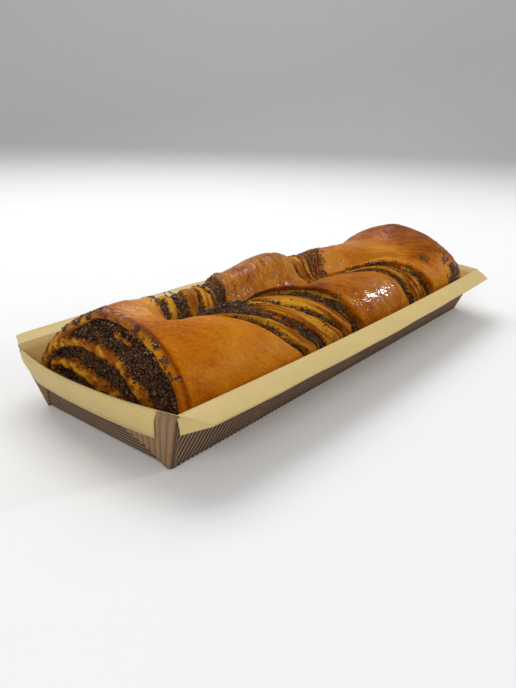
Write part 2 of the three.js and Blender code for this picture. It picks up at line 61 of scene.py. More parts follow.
OUTWARD = {"front": -1, "back": 1, "near": -1, "far": 1}  # the way each wall faces, along Y or X

# Lengths in the tables below are millimetres and angles are degrees. The roll's surface has two parameters:
# u, from 0 at the cut end to 5 at the whole end, and phi, the angle round the axis: 0 up, -90 front, 90 back.
# Crust lies between u = 0 and 1, 2 and 3, 4 and 5, and the fans of opened layers between 1 and 2, 3 and 4.

# Height of the top above the axis, and how round the back is, along X.
TOP_HEIGHT = [(-150, 38.5), (-140, 37.5), (-100, 38), (-45, 38), (-15, 38.8), (0, 38.8), (20, 38), (80, 38),
              (105, 38.5), (125, 39.5), (156, 38)]
BACK_ROUNDNESS = [(-150, 1.3), (-120, 1.42), (-70, 1.7), (-40, 2.1), (40, 2.1), (90, 1.75), (156, 1.7)]
FRONT_ROUNDNESS = 2.15

# X of each seam round the roll, as (phi, x).
SEAMS = [
    # end of the near crust
    [(-180, -66), (-120, -60), (-90, -56), (-76, -68), (-64, -78), (-52, -89), (-44, -99), (-36, -111),
     (-28, -121), (-12, -117.5), (10, -112.5), (50, -108.5), (90, -105), (120, -96), (180, -66)],
    # lips of the middle crusts
    [(-180, -20), (-120, 0), (-90, 6), (-77, 0), (-64, -8), (-51, -17.5), (-40, -31), (-30, -48),
     (-22, -60), (-12, -66), (0, -66), (20, -59), (50, -46), (90, -40), (120, -34), (180, -20)],
    # ends of the middle crusts
    [(-180, 42), (-120, 62), (-90, 68), (-75, 62), (-60, 54), (-45, 42), (-30, 26), (-14, 7),
     (0, -1), (20, 4), (50, 10), (90, 15), (120, 22), (180, 42)],
    # lips of the far crusts
    [(-180, 76), (-120, 98), (-90, 102), (-75, 93), (-60, 80), (-46, 65), (-34, 50), (-24, 37),
     (-14, 27), (0, 24), (20, 36), (50, 46), (90, 52), (120, 58), (180, 76)],
]

# Bands of filling in each fan, on its front and its back, as (phi, start, end) in parts of the fan's width.
# A band keeps its first and last row's parts beyond their phi.
NEAR_FAN_FRONT = [
    [(-90, 0, 0.07), (-50, 0, 0.08), (-30, 0, 0.05), (-14, 0, 0.2)],
    [(-90, 0.25, 0.4), (-50, 0.17, 0.31), (-34, 0.12, 0.54), (-20, 0.12, 0.62), (-14, 0.2, 0.8)],
    [(-90, 0.7, 0.75), (-50, 0.46, 0.53), (-30, 0.66, 0.7), (-14, 0.8, 0.86)],
    [(-90, 0.86, 0.98), (-50, 0.78, 0.96), (-30, 0.82, 0.97), (-14, 0.86, 0.99)],
]
NEAR_FAN_BACK = [
    [(-16, 0, 0.14), (-4, 0, 0.13), (18, 0.03, 0.14)],
    [(-16, 0.2, 0.42), (-4, 0.24, 0.42), (18, 0.24, 0.44)],
    [(-16, 0.5, 0.68), (-4, 0.54, 0.66), (14, 0.6, 0.62), (22, 0.61, 0.61)],
    [(-16, 0.8, 0.86), (-4, 0.8, 0.85), (18, 0.70, 0.76)],
    [(-16, 0.88, 0.92), (-4, 0.88, 0.93), (18, 0.79, 0.87)],
    [(-16, 0.96, 0.99), (-4, 0.96, 0.99), (18, 0.91, 0.99)],
]
FAR_FAN_FRONT = [
    [(-90, 0.05, 0.28), (-58, 0.02, 0.24), (-30, 0, 0.22), (-8, 0, 0.18)],
    [(-90, 0.52, 0.53), (-58, 0.46, 0.47), (-30, 0.42, 0.44), (-8, 0.4, 0.4)],
    [(-90, 0.78, 0.97), (-58, 0.68, 0.93), (-30, 0.64, 0.95), (-8, 0.6, 0.95)],
]
FAR_FAN_BACK = [
    [(-12, 0, 0.16), (0, 0, 0.13), (16, 0.01, 0.05), (180, 0.01, 0.04)],
    [(-12, 0.34, 0.42), (0, 0.34, 0.42), (16, 0.33, 0.35), (26, 0.33, 0.33)],
    [(-12, 0.54, 0.66), (0, 0.54, 0.66), (16, 0.5, 0.62)],
    [(-12, 0.70, 0.75), (0, 0.70, 0.75), (16, 0.66, 0.76)],
    [(-12, 0.78, 0.82), (0, 0.78, 0.82), (16, 0.79, 0.86)],
    [(-12, 0.92, 0.97), (0, 0.92, 0.97), (16, 0.93, 0.98)],
]
FAN_TURN = -13  # the phi where a fan's front bands meet its back ones

# The pieces of seed in the fans: name, the fan's stretch of u, from phi, to phi, seed of the random draws.
SEEDED_FANS = [
    ("near_fan_front_seeds", 1, -96, -22, 41),
    ("near_fan_back_seeds", 1, -22, 92, 45),
    ("far_fan_seeds", 3, -96, 92, 44),
]

# The groove between the front and back lumps along X: its phi, its depth and its width on the front.
GROOVE_PHI = [(-150, -27), (-120, -26), (-100, -20), (-80, -16), (-60, -14), (20, -13), (48, -21), (62, -30),
              (74, -41), (80, -49), (88, -57), (100, -64), (156, -70)]
GROOVE_DEPTH = [(-130, 0), (-119, 6.5), (-108, 13), (40, 13), (56, 11), (66, 7), (76, 4), (88, 1.6), (104, 0)]
GROOVE_FRONT_WIDTH = [(-122, 6), (-108, 8), (-95, 11), (-70, 12), (-50, 12.5), (-34, 16), (-18, 23),
                      (40, 23), (60, 16), (80, 9)]
GROOVE_BACK_WIDTH = [(-120, 17), (45, 17), (66, 14), (80, 10)]

# Where the whole end starts to close, and how squarely it does, round the roll.
END_START = [(-180, 118), (-112, 122), (-92, 133), (-78, 130), (-60, 117), (-20, 110), (60, 114), (90, 122),
             (180, 118)]
END_SQUARE = [(-180, 3), (-112, 3), (-90, 4.5), (-75, 3.8), (-50, 3), (180, 3)]

# Outlines of the layers on the cut end, as (y, z) from front to back, outermost first: filling, dough,
# filling, dough, filling.
# The streak is a shred of dough that shows in the outermost filling.
FACE_MIDDLE = (12, 12)
FACE_STREAK = (-9, 50.2), (-17, 47.4)
FACE_LAYERS = [
    [(-44, 8), (-44, 23), (-43, 30.5), (-37.5, 40), (-30, 47), (-20, 52), (-11, 56), (1, 55), (12, 51),
     (28, 41), (41, 31), (44, 20), (42, 8)],
    [(-29, 10), (-28, 22), (-27, 26), (-22, 30), (-16, 33), (-10, 40), (-1, 42), (8, 43), (18, 42), (29, 39),
     (41, 28), (43, 18), (41, 8)],
    [(-25, 10), (-23, 21), (-17, 27), (-13, 31), (-7, 35), (2, 37), (11, 39), (22, 37), (33, 32), (40, 21),
     (40, 8)],
    [(-12, 12), (-8, 22), (-1, 25), (5, 27), (14, 29), (24, 30), (34, 28), (38, 22), (38, 10)],
    [(-6, 12), (-2, 20), (5, 20), (12, 23), (22, 25), (30, 25), (35, 22), (35, 12)],
]


# ------------------------------------------------------------------ arithmetic on whole arrays
def smooth(t):
    """0 up to t = 0, 1 from t = 1, and the cubic 3t^2 - 2t^3 between."""
    t = np.clip(t, 0, 1)
    return t * t * (3 - 2 * t)


def read(table, x, column=1):
    """The table's column at x, straight between its rows."""
    rows = np.asarray(table, float)
    return np.interp(x, rows[:, 0], rows[:, column])


def spline(table, x):
    """The table at x: a cubic between its rows, whose slope at a row is that between the rows beside it."""
    rows = np.asarray(table, float)
    across, up = rows[:, 0], rows[:, 1]
    slope = np.gradient(up, across)
    slope[1:-1] = (up[2:] - up[:-2]) / (across[2:] - across[:-2])
    x = np.clip(x, across[0], across[-1])
    i = np.clip(np.searchsorted(across, x) - 1, 0, len(across) - 2)
    h = across[i + 1] - across[i]
    t = (x - across[i]) / h
    start = (2 * t**3 - 3 * t**2 + 1) * up[i] + (t**3 - 2 * t**2 + t) * h * slope[i]
    return start + (-2 * t**3 + 3 * t**2) * up[i + 1] + (t**3 - t**2) * h * slope[i + 1]


def lumps(place, cell, seed):
    """Smooth random height from -1 to 1: random numbers on the corners of cubes, blended smoothly."""
    size = 64
    corners = np.random.default_rng(seed).uniform(-1, 1, (size,) * 3)
    scaled = [np.asarray(axis, float) / side for axis, side in zip(place, np.broadcast_to(cell, 3))]
    low = [np.floor(axis).astype(int) for axis in scaled]
    part = [smooth(axis - start) for axis, start in zip(scaled, low)]
    total = 0
    for step in itertools.product((0, 1), repeat=3):
        weight = 1
        for axis, bit in zip(part, step):
            weight = weight * (axis if bit else 1 - axis)
        total = total + weight * corners[tuple((start + bit) % size for start, bit in zip(low, step))]
    return total


def grid_points(first, second):
    """Each value of the first row with each of the second, as two arrays: down and across."""
    return np.meshgrid(first, second, indexing="ij")


def quarter_round(t):
    """1 at t = 0 falling to 0 at t = 1 as a quarter circle falls."""
    return 1 - np.sqrt(np.clip(1 - (1 - np.clip(t, 0, 1)) ** 2, 0, 1))


def half_round(t):
    """0 at t = 0 and t = 1, and between them as high as a half circle: the root of 1 - (2t - 1)^2."""
    return np.sqrt(np.clip(1 - (2 * t - 1) ** 2, 0, 1))


def bell(across, up=0):
    """1 where both are 0, falling off all round as e to the minus sum of their squares."""
    return np.exp(-(across**2) - up**2)


def fade(away, reach):
    """1 up to where `away` is 0, then falling as e to the minus away / reach."""
    return np.exp(-np.clip(away, 0, None) / reach)


def arc_length(phi):
    """How far round the roll phi lies from its top, in millimetres: the angle times the mean radius."""
    return phi * DEG * ARC_RADIUS


def seed_clusters(points):
    """Smooth random height from -1 to 1, high where single seeds gather."""
    return lumps(np.moveaxis(points, -1, 0), 3.5, 71)


# ------------------------------------------------------------------ the roll's surface
def seams_at(sizes, phi):
    """The X of the six seams at phi: the cut end, four slanting seams and the tip.

    The cut end slants by its skew and draws back 3 mm low on the sides, clear of the tray's end.
    """
    face = sizes.face_x / MM - sizes.face_skew / MM * np.sin(phi * DEG) + 3 * smooth((np.abs(phi) - 86) / 18)
    return np.stack([face, *(spline(seam, phi) for seam in SEAMS), np.full_like(phi, sizes.end_x / MM)])


def seam_shear(phi):
    """How far the seams lie along X at phi from where they are at the top, on average."""
    return sum(spline(seam, phi) - spline(seam, np.zeros(1)) for seam in SEAMS) / len(SEAMS)


def plain_radius(sizes, x, phi):
    """Radius of the arched section: a superellipse above, and a rounded box that rests on the paper below."""
    sine = np.abs(np.sin(phi * DEG))
    cosine = np.cos(phi * DEG)
    half = sizes.half_width / MM
    power = np.where(phi < 0, FRONT_ROUNDNESS, spline(BACK_ROUNDNESS, x))
    top = ((sine / half) ** power + (np.abs(cosine) / spline(TOP_HEIGHT, x)) ** power) ** (-1 / power)
    under = ((sine / half) ** 3 + (np.abs(cosine) / UNDER_DEPTH) ** 3) ** (-1 / 3)
    floor = (sizes.axis_height / MM - FLOOR_GAP) / np.maximum(np.abs(cosine), 1e-6)
    return np.where(cosine > 0, top, np.minimum(under, floor))


def fan_bands(fan, part, phi, width, waver):
    """How deep a point is in a band (mm, below 0 outside), and its ply's height (0 to 1) and width."""
    depth = np.full_like(part, -FAR_OFF)
    ply = np.zeros_like(part)
    ply_width = np.zeros_like(part)
    before = np.zeros_like(part)
    for number, band in enumerate([*fan, [(-180, 1, 1), (180, 1, 1)]]):
        start = np.maximum(read(band, phi, 1) + waver[2 * number % len(waver)], before)
        end = np.maximum(read(band, phi, 2) + waver[(2 * number + 1) % len(waver)], start)
        depth = np.maximum(depth, np.minimum(part - start, end - part) * width)
        gap = np.maximum(start - before, 1e-4)
        across = (part - before) / gap
        inside = (across >= 0) & (across <= 1) & (gap * width > 0.5)
        ply = np.where(inside, half_round(across), ply)
        ply_width = np.where(inside, gap * width, ply_width)
        before = end
    return depth, ply, ply_width


def crown(x, start, end, lip, fall, start_drop, end_drop):
    """A crust's height: 0 on its crown, rounding down over the lip at its start and the fall at its end."""
    return -start_drop * quarter_round((x - start) / lip) - end_drop * quarter_round((end - x) / fall)


def roll_surface(sizes, u, phi):
    """The roll without its filling: x and radius at (u, phi), and what lies there.

    x runs straight between the seams. The radius is the plain section's, plus the relief of the crust or fan,
    less the groove between the lumps, rounded off at both ends.
    """
    seams = seams_at(sizes, phi)
    stretch = np.clip(np.floor(u).astype(int), 0, 4)
    part = u - stretch
    low = np.take_along_axis(seams, stretch[None], 0)[0]
    high = np.take_along_axis(seams, stretch[None] + 1, 0)[0]
    x = low + (high - low) * part
    radius = plain_radius(sizes, x, phi)
    valley = read(GROOVE_PHI, x)
    back = smooth((phi - (valley - 6)) / 12)
    front = 1 - back
    near_top = smooth((phi + 60) / 35) * front
    arc = arc_length(phi)
    waver = [
        0.018 * lumps((arc, 7 * n + 0 * arc, x / 9), 9, 11 + n)
        + 0.012 * lumps((arc, 5 * n + 0 * arc, x / 4), 2.6, 17 + n)
        for n in range(5)
    ]
    turned = phi > FAN_TURN
    near_fan, far_fan = (
        [np.where(turned, behind, before) for before, behind in zip(
            *(fan_bands(bands, part, phi, high - low, waver) for bands in pair))]
        for pair in ((NEAR_FAN_FRONT, NEAR_FAN_BACK), (FAR_FAN_FRONT, FAR_FAN_BACK))
    )
    sunk = -2 - 2 * (1 - smooth((x - seams[2]) / 50)) + 2.5 * near_top * quarter_round((x - seams[2]) / 30)
    sunk = sunk - 4.5 * near_top * smooth((x - seams[2] - 8) / 22) * smooth((74 - x) / 30)
    behind_lip = -3.5 * (1 - smooth((x - seams[2] - 4) / 40))
    # one relief for each stretch: near crust, near fan, middle crust, far fan and far crust
    relief = np.choose(stretch, [
        -(2.5 - back) * smooth((x - seams[1] + 18) / 18),
        front * (-4.5 - 3.5 * part - 1.5 * near_top) + back * (-5 - 2 * part),
        front * (sunk + crown(x, seams[2], seams[3], 6, 34, 4, 5))
        + back * (behind_lip + crown(x, seams[2], seams[3], 5, 20, 5, 7)),
        -7 + part - 0.5 * back,
        front * (-4 * quarter_round((x - seams[4]) / 7) - 2 * (1 - smooth((x - seams[4]) / 30)))
        + back * (-4 * quarter_round((x - seams[4]) / 6) - 5.5 * (1 - smooth((x - 82) / 36))),
    ])
    upper = smooth((np.cos(phi * DEG) + 0.35) / 0.4)
    off = phi - valley
    groove_width = np.where(off < 0, read(GROOVE_FRONT_WIDTH, x), read(GROOVE_BACK_WIDTH, x))
    groove = spline(GROOVE_DEPTH, x) / FULL_GROOVE * bell(off / groove_width)
    radius = radius + relief * upper - sizes.groove_depth / MM * groove
    start = spline(END_START, phi)
    closing = np.clip((x - start) / (sizes.end_x / MM - start), 0, 1)
    radius = radius * np.sqrt(np.clip(1 - closing ** read(END_SQUARE, phi), 0, 1))
    radius = radius - 3.8 * quarter_round(1 - np.clip((seams[0] + 5 - x) / 5, 0, 1))
    none = FAR_OFF + 0 * u
    pick = [np.choose(stretch, [-none, near, -none, far, -none]) for near, far in zip(near_fan, far_fan)]
    shreds = lumps(((x - seam_shear(phi)) / 1.1, arc / 5, 0 * arc), 1, 9)
    band = np.minimum(pick[0], 2 - 4 * smooth((shreds - 0.5) / 0.12))
    lip = np.choose(stretch, [none, none, x - seams[2], none, x - seams[4]])
    return {
        "x": x, "radius": radius, "stretch": stretch, "part": part, "upper": upper, "back": back,
        "band": band, "ply": np.maximum(pick[1], 0), "ply_width": np.maximum(pick[2], 0), "lip": lip,
        "groove": groove, "start": low, "end": high, "width": high - low,
    }


def round_the_axis(sizes, x, radius, phi):
    """Points at that x and radius round the axis, as an array of x, y, z in millimetres."""
    height = sizes.axis_height / MM
    return np.stack([x, radius * np.sin(phi * DEG), height + radius * np.cos(phi * DEG)], -1)


def face_layers(y, z):
    """How far inside each layer's outline a point of the cut end lies, in millimetres, outermost first."""
    off_y, off_z = y - FACE_MIDDLE[0], z - FACE_MIDDLE[1]
    angle = np.arctan2(off_y, off_z) / DEG
    reach = np.hypot(off_y, off_z)
    depths = []
    for outline in FACE_LAYERS:
        points = np.asarray(outline, float) - FACE_MIDDLE
        table = np.stack([np.arctan2(points[:, 0], points[:, 1]) / DEG, np.hypot(*points.T)], -1)
        table = table[np.argsort(table[:, 0])]
        inside = spline(table, angle) - reach
        foot = np.minimum(angle - table[0, 0], table[-1, 0] - angle) * 0.5
        depths.append(np.minimum(inside, foot))
    return depths


def face_bands(y, z):
    """As fan_bands, for the cut end: depth in a band, the ply's height and width, depth in the outermost."""
    first, second, third, fourth, core = face_layers(y, z)
    depth = np.maximum(np.minimum(first, -second), np.maximum(np.minimum(third, -fourth), core))
    (start_y, start_z), (end_y, end_z) = FACE_STREAK
    run_y, run_z = end_y - start_y, end_z - start_z
    share = np.clip(((y - start_y) * run_y + (z - start_z) * run_z) / (run_y**2 + run_z**2), 0, 1)
    depth = np.minimum(depth, np.hypot(y - start_y - share * run_y, z - start_z - share * run_z) - 1.1)
    ply = np.zeros_like(y)
    width = np.zeros_like(y)
    for outer, inner in ((second, third), (fourth, core)):
        across = outer / np.maximum(outer - inner, 0.3)
        inside = (outer > 0) & (inner < 0)
        ply = np.where(inside, half_round(across), ply)
        width = np.where(inside, outer - inner, width)
    return depth, ply, width, first


def columns(dense, sparse):
    """Angles round the roll, dense over the top and sides and sparse underneath, from -180 up to 180."""
    side = 108
    over = np.linspace(-side, side, dense, endpoint=False)
    under = np.linspace(side, 360 - side, sparse, endpoint=False)
    return np.sort((np.concatenate([over, under]) + 180) % 360 - 180)


def rows(counts):
    """Values of u with so many steps in each of the five stretches, closer together at both ends of each."""
    steps = []
    for stretch, count in enumerate(counts):
        even = np.linspace(0, 1, count, endpoint=False)
        steps.append(stretch + even - 0.08 * np.sin(2 * math.pi * even) / math.pi)
    return np.concatenate([*steps, [5 - 1e-5]])


# ------------------------------------------------------------------ meshes and materials
def mesh_piece(name, vertices, faces, material, node, slot, marks=None):
    """A piece from vertices in millimetres: it rides on the root and stands for that CAD node."""
    mesh = bpy.data.meshes.new(name)
    mesh.vertices.add(len(vertices))
    mesh.vertices.foreach_set("co", np.asarray(vertices, np.float32).ravel() * MM)
    faces = np.asarray(faces, np.int32)
    mesh.loops.add(faces.size)
    mesh.loops.foreach_set("vertex_index", faces.ravel())
    mesh.polygons.add(len(faces))
    mesh.polygons.foreach_set("loop_start", np.arange(0, faces.size, faces.shape[1], dtype=np.int32))
    mesh.polygons.foreach_set("use_smooth", np.ones(len(faces), bool))
    for mark, values in (marks or {}).items():
        values = np.asarray(values, np.float32)
        vector = values.size == 3 * len(vertices)
        layer = mesh.attributes.new(mark, "FLOAT_VECTOR" if vector else "FLOAT", "POINT")
        layer.data.foreach_set("vector" if vector else "value", values.ravel())
    mesh.update(calc_edges=True)
    mesh.validate()
    mesh.materials.append(material)
    piece = bpy.data.objects.new(name, mesh)
    bpy.context.scene.collection.objects.link(piece)
    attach(piece, "root")
    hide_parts(node)
    return piece


def grid_faces(down, across, wrap):
    """Quads of a grid with that many rows and columns; wrap joins the last column to the first."""
    row = np.arange(down - 1)[:, None]
    column = np.arange(across if wrap else across - 1)[None]
    following = (column + 1) % across
    corners = [row * across + column, row * across + following, (row + 1) * across + following,
               (row + 1) * across + column]
    return np.stack(np.broadcast_arrays(*corners), -1).reshape(-1, 4)


def sheet_mesh(outer, inner):
    """A closed thin sheet between two grids of points: its two faces and the four edges between them."""
    down, across = outer.shape[:2]
    vertices = np.concatenate([outer.reshape(-1, 3), inner.reshape(-1, 3)])
    faces = grid_faces(down, across, False)
    below = down * across
    index = np.arange(below).reshape(down, across)
    rim = np.concatenate([index[0, :-1], index[:-1, -1], index[-1, :0:-1], index[:0:-1, 0]])
    beyond = np.roll(rim, -1)
    sides = np.stack([rim, rim + below, beyond + below, beyond], -1)
    return vertices, np.concatenate([faces, faces[:, ::-1] + below, sides])


def join_meshes(parts):
    """Several (vertices, faces) as one."""
    starts = np.cumsum([0] + [len(vertices) for vertices, _ in parts[:-1]])
    return (
        np.concatenate([vertices for vertices, _ in parts]),
        np.concatenate([faces + start for (_, faces), start in zip(parts, starts)]),
    )


class Wiring:
    """Short ways to add and join the nodes of one material."""

    def __init__(self, name):
        """A new material with its shader."""
        self.material = bpy.data.materials.new(name)
        self.material.use_nodes = True
        self.tree = self.material.node_tree
        self.shader = self.tree.nodes["Principled BSDF"]

    def add(self, kind, **settings):
        """A new node of that kind with those settings."""
        node = self.tree.nodes.new(kind)
        for key, value in settings.items():
            setattr(node, key, value)
        return node

    def link(self, source, target):
        """Joins one socket to another."""
        self.tree.links.new(source, target)

    def put(self, target, value):
        """Joins a socket, or sets a plain value."""
        if isinstance(value, bpy.types.NodeSocket):
            self.link(value, target)
        else:
            target.default_value = value

    def shade(self, name, value):
        """Gives the shader's input of that name a socket or a plain value."""
        self.put(self.shader.inputs[name], value)

    def place(self, scale=(1, 1, 1)):
        """Object coordinates, drawn out by that scale."""
        mapping = self.add("ShaderNodeMapping", vector_type="TEXTURE")
        mapping.inputs["Scale"].default_value = scale
        self.link(self.add("ShaderNodeTexCoord").outputs["Object"], mapping.inputs["Vector"])
        return mapping.outputs["Vector"]

    def weave(self, scale):
        """Coordinates along and across the wrinkles (mark `weave`), drawn out by that scale."""
        mapping = self.add("ShaderNodeMapping", vector_type="TEXTURE")
        mapping.inputs["Scale"].default_value = scale
        self.link(self.add("ShaderNodeAttribute", attribute_name="weave").outputs["Vector"],
                  mapping.inputs["Vector"])
        return mapping.outputs["Vector"]

    def noise(self, size, detail=3.0, rough=0.55, place=None, warp=0.0):
        """Noise whose blotches are about that many metres across."""
        node = self.add("ShaderNodeTexNoise")
        node.inputs["Scale"].default_value = 1 / size
        node.inputs["Detail"].default_value = detail
        node.inputs["Roughness"].default_value = rough
        node.inputs["Distortion"].default_value = warp
        self.link(place or self.place(), node.inputs["Vector"])
        return node.outputs["Fac"]

    def mark(self, name):
        """The piece's own number of that name at each place."""
        return self.add("ShaderNodeAttribute", attribute_name=name).outputs["Fac"]

    def sum(self, operation, first, second, clamp=False):
        """Two values joined by that operation, held to 0 to 1 where clamp says so."""
        node = self.add("ShaderNodeMath", operation=operation, use_clamp=clamp)
        self.put(node.inputs[0], first)
        self.put(node.inputs[1], second)
        return node.outputs[0]

    def span(self, value, low, high, to_low=0.0, to_high=1.0):
        """The value's span from low to high, carried to another span and held there."""
        node = self.add("ShaderNodeMapRange")
        for key, number in (("From Min", low), ("From Max", high), ("To Min", to_low), ("To Max", to_high)):
            node.inputs[key].default_value = number
        self.put(node.inputs["Value"], value)
        return node.outputs["Result"]

    def mix(self, share, first, second):
        """The first colour, turning to the second as the share goes from 0 to 1."""
        node = self.add("ShaderNodeMix", data_type="RGBA")
        self.put(node.inputs[0], share)
        self.put(node.inputs[6], first)
        self.put(node.inputs[7], second)
        return node.outputs[2]

    def bump(self, height, distance, strength=1.0, under=None):
        """A relief so many metres high, laid over the one under it."""
        node = self.add("ShaderNodeBump")
        self.put(node.inputs["Strength"], strength)
        node.inputs["Distance"].default_value = distance
        self.link(height, node.inputs["Height"])
        if under:
            self.link(under, node.inputs["Normal"])
        return node.outputs["Normal"]


def crust_material(looks):
    """Baked dough: golden to brown crust under egg glaze, paler where its layers tore open."""
    wire = Wiring("baked_dough")
    skewed = wire.weave((1, 2.6, 1))
    blotches = wire.noise(0.028, 4, 0.6)
    streaks = wire.noise(0.0034, 4, 0.65, place=skewed, warp=1.2)
    fine = wire.noise(0.0011, 2, 0.6)
    brown = wire.mark("browning")
    brown = wire.sum("ADD", brown, wire.span(blotches, 0.3, 0.7, -0.28, 0.28))
    brown = wire.sum("ADD", brown, wire.span(fine, 0.3, 0.7, -0.14, 0.14))
    baked = wire.span(wire.mark("creased"), 0.1, 1.0, 0.3, 2.2)
    brown = wire.sum("ADD", brown, wire.sum("MULTIPLY", wire.span(streaks, 0.3, 0.7, -0.2, 0.2), baked),
                     clamp=True)
    colour = wire.mix(wire.span(brown, 0, 0.5), (*looks.crust_pale, 1), (*looks.crust_gold, 1))
    colour = wire.mix(wire.span(brown, 0.5, 1), colour, (*looks.crust_brown, 1))
    torn = wire.mark("torn")
    layers = wire.sum("ADD", wire.span(wire.mark("layer"), -0.4, 0.5, 0, 0.85),
                      wire.span(streaks, 0.35, 0.65, 0, 0.3))
    torn_colour = wire.mix(layers, (*looks.torn_gold, 1), (*looks.torn_orange, 1))
    cracks = wire.noise(0.0011, 3, 0.6, place=wire.weave((1, 7, 1)), warp=0.5)
    torn_colour = wire.mix(wire.span(cracks, 0.34, 0.43, 0.65, 0), torn_colour, (*looks.crust_brown, 1))
    colour = wire.mix(torn, colour, torn_colour)
    stain = wire.sum("MULTIPLY", wire.mark("stain"), wire.span(wire.noise(0.0016, 2), 0.42, 0.6), clamp=True)
    colour = wire.mix(stain, colour, (*looks.seed_stain, 1))
    wire.shade("Base Color", colour)
    roughness = wire.sum("ADD", wire.span(streaks, 0.3, 0.7, 0.3, 0.5), wire.span(torn, 0, 1, 0, 0.15))
    wire.shade("Roughness", roughness)
    wire.shade("Specular IOR Level", 0.06)
    wire.shade("Specular Tint", (1.0, 0.5, 0.15, 1))
    shards = wire.noise(0.0032, 2, 0.6, place=wire.weave((1, 1.8, 1)), warp=1.0)
    wire.shade("Coat Normal", wire.bump(shards, 0.0010, 0.7))
    flecks = wire.noise(0.0026, 3, 0.7, place=wire.weave((1, 2.4, 1)), warp=1.5)
    broken = wire.span(flecks, 0.43, 0.52, 0.03, 1)
    wire.shade("Coat Weight", wire.sum("MULTIPLY", wire.mark("gloss"), broken))
    wire.shade("Coat Roughness", 0.05)
    wire.shade("Coat IOR", 2.2)
    wrinkles = wire.noise(0.0024, 4, 0.6, place=wire.weave((1, 3, 1)), warp=1.0)
    low = wire.bump(wrinkles, 0.0038, wire.mark("creased"))
    cells = wire.bump(wire.noise(0.0018, 2, 0.5), 0.0008, 0.7, under=low)
    wire.shade("Normal", wire.bump(fine, 0.0003, 0.35, under=cells))
    return wire.material


def paste_material(looks):
    """The paste the seeds lie in: moist and grainy, painted dark as the shadow between the seeds, with paler
    specks.
    """
    wire = Wiring("poppy_paste")
    grain = wire.noise(0.0009, 2, 0.6)
    # painted shadow: the dark paste colour stands for the shade between the seeds
    colour = wire.mix(wire.span(grain, 0.45, 0.62), (*looks.paste_dark, 1), (*looks.paste_brown, 1))
    wire.shade("Base Color", colour)
    wire.shade("Roughness", 0.6)
    wire.shade("Specular IOR Level", 0.15)
    wire.shade("Normal", wire.bump(grain, 0.0006, 0.8))
    return wire.material


def seed_material(looks):
    """Poppy seed: slate grey to dark brown, a few painted pale as highlights, by each seed's own tone."""
    wire = Wiring("poppy_seed")
    tone = wire.mark("tone")
    colour = wire.mix(wire.span(tone, 0.35, 0.8), (*looks.seed_dark, 1), (*looks.seed_brown, 1))
    # painted highlight: the seeds of highest tone are coloured pale
    colour = wire.mix(wire.span(tone, 0.9, 0.98), colour, (*looks.seed_highlight, 1))
    speck = wire.noise(0.0004, 1)
    colour = wire.mix(wire.span(speck, 0.3, 0.7, 0, 0.35), colour, (*looks.seed_dark, 1))
    oily = wire.noise(0.006, 2)
    colour = wire.mix(wire.span(oily, 0.45, 0.62, 0, 0.6), colour, (*looks.paste_brown, 1))
    wire.shade("Base Color", colour)
    wire.shade("Roughness", 0.24)
    wire.shade("Specular IOR Level", 0.38)
    wire.shade("Specular Tint", (1.0, 0.76, 0.62, 1))
    return wire.material


def paper_material(name, light, dark, fibre, roughness):
    """Uncoated paper: cloudy tone, short fibres and a faint tooth; the mark `groove` paints shade into the
    corrugation's grooves.
    """
    wire = Wiring(name)
    cloud = wire.noise(0.02, 4, 0.6)
    fibres = wire.noise(0.0009, 3, 0.7, place=wire.place(scale=fibre))
    tone = wire.sum("ADD", wire.span(cloud, 0.3, 0.7, 0, 0.5), wire.span(fibres, 0.3, 0.7, 0, 0.5))
    colour = wire.mix(tone, (*light, 1), (*dark, 1))
    groove = wire.mark("groove")
    # painted shade: the grooves of the corrugation are coloured darker
    shade = wire.span(groove, 0.05, 0.6, 0, 1)
    colour = wire.mix(shade, colour, tuple(0.16 * c for c in dark) + (1,))
    wire.shade("Base Color", colour)
    wire.shade("Roughness", roughness)
    wire.shade("Normal", wire.bump(fibres, 0.00025, 0.5))
    return wire.material


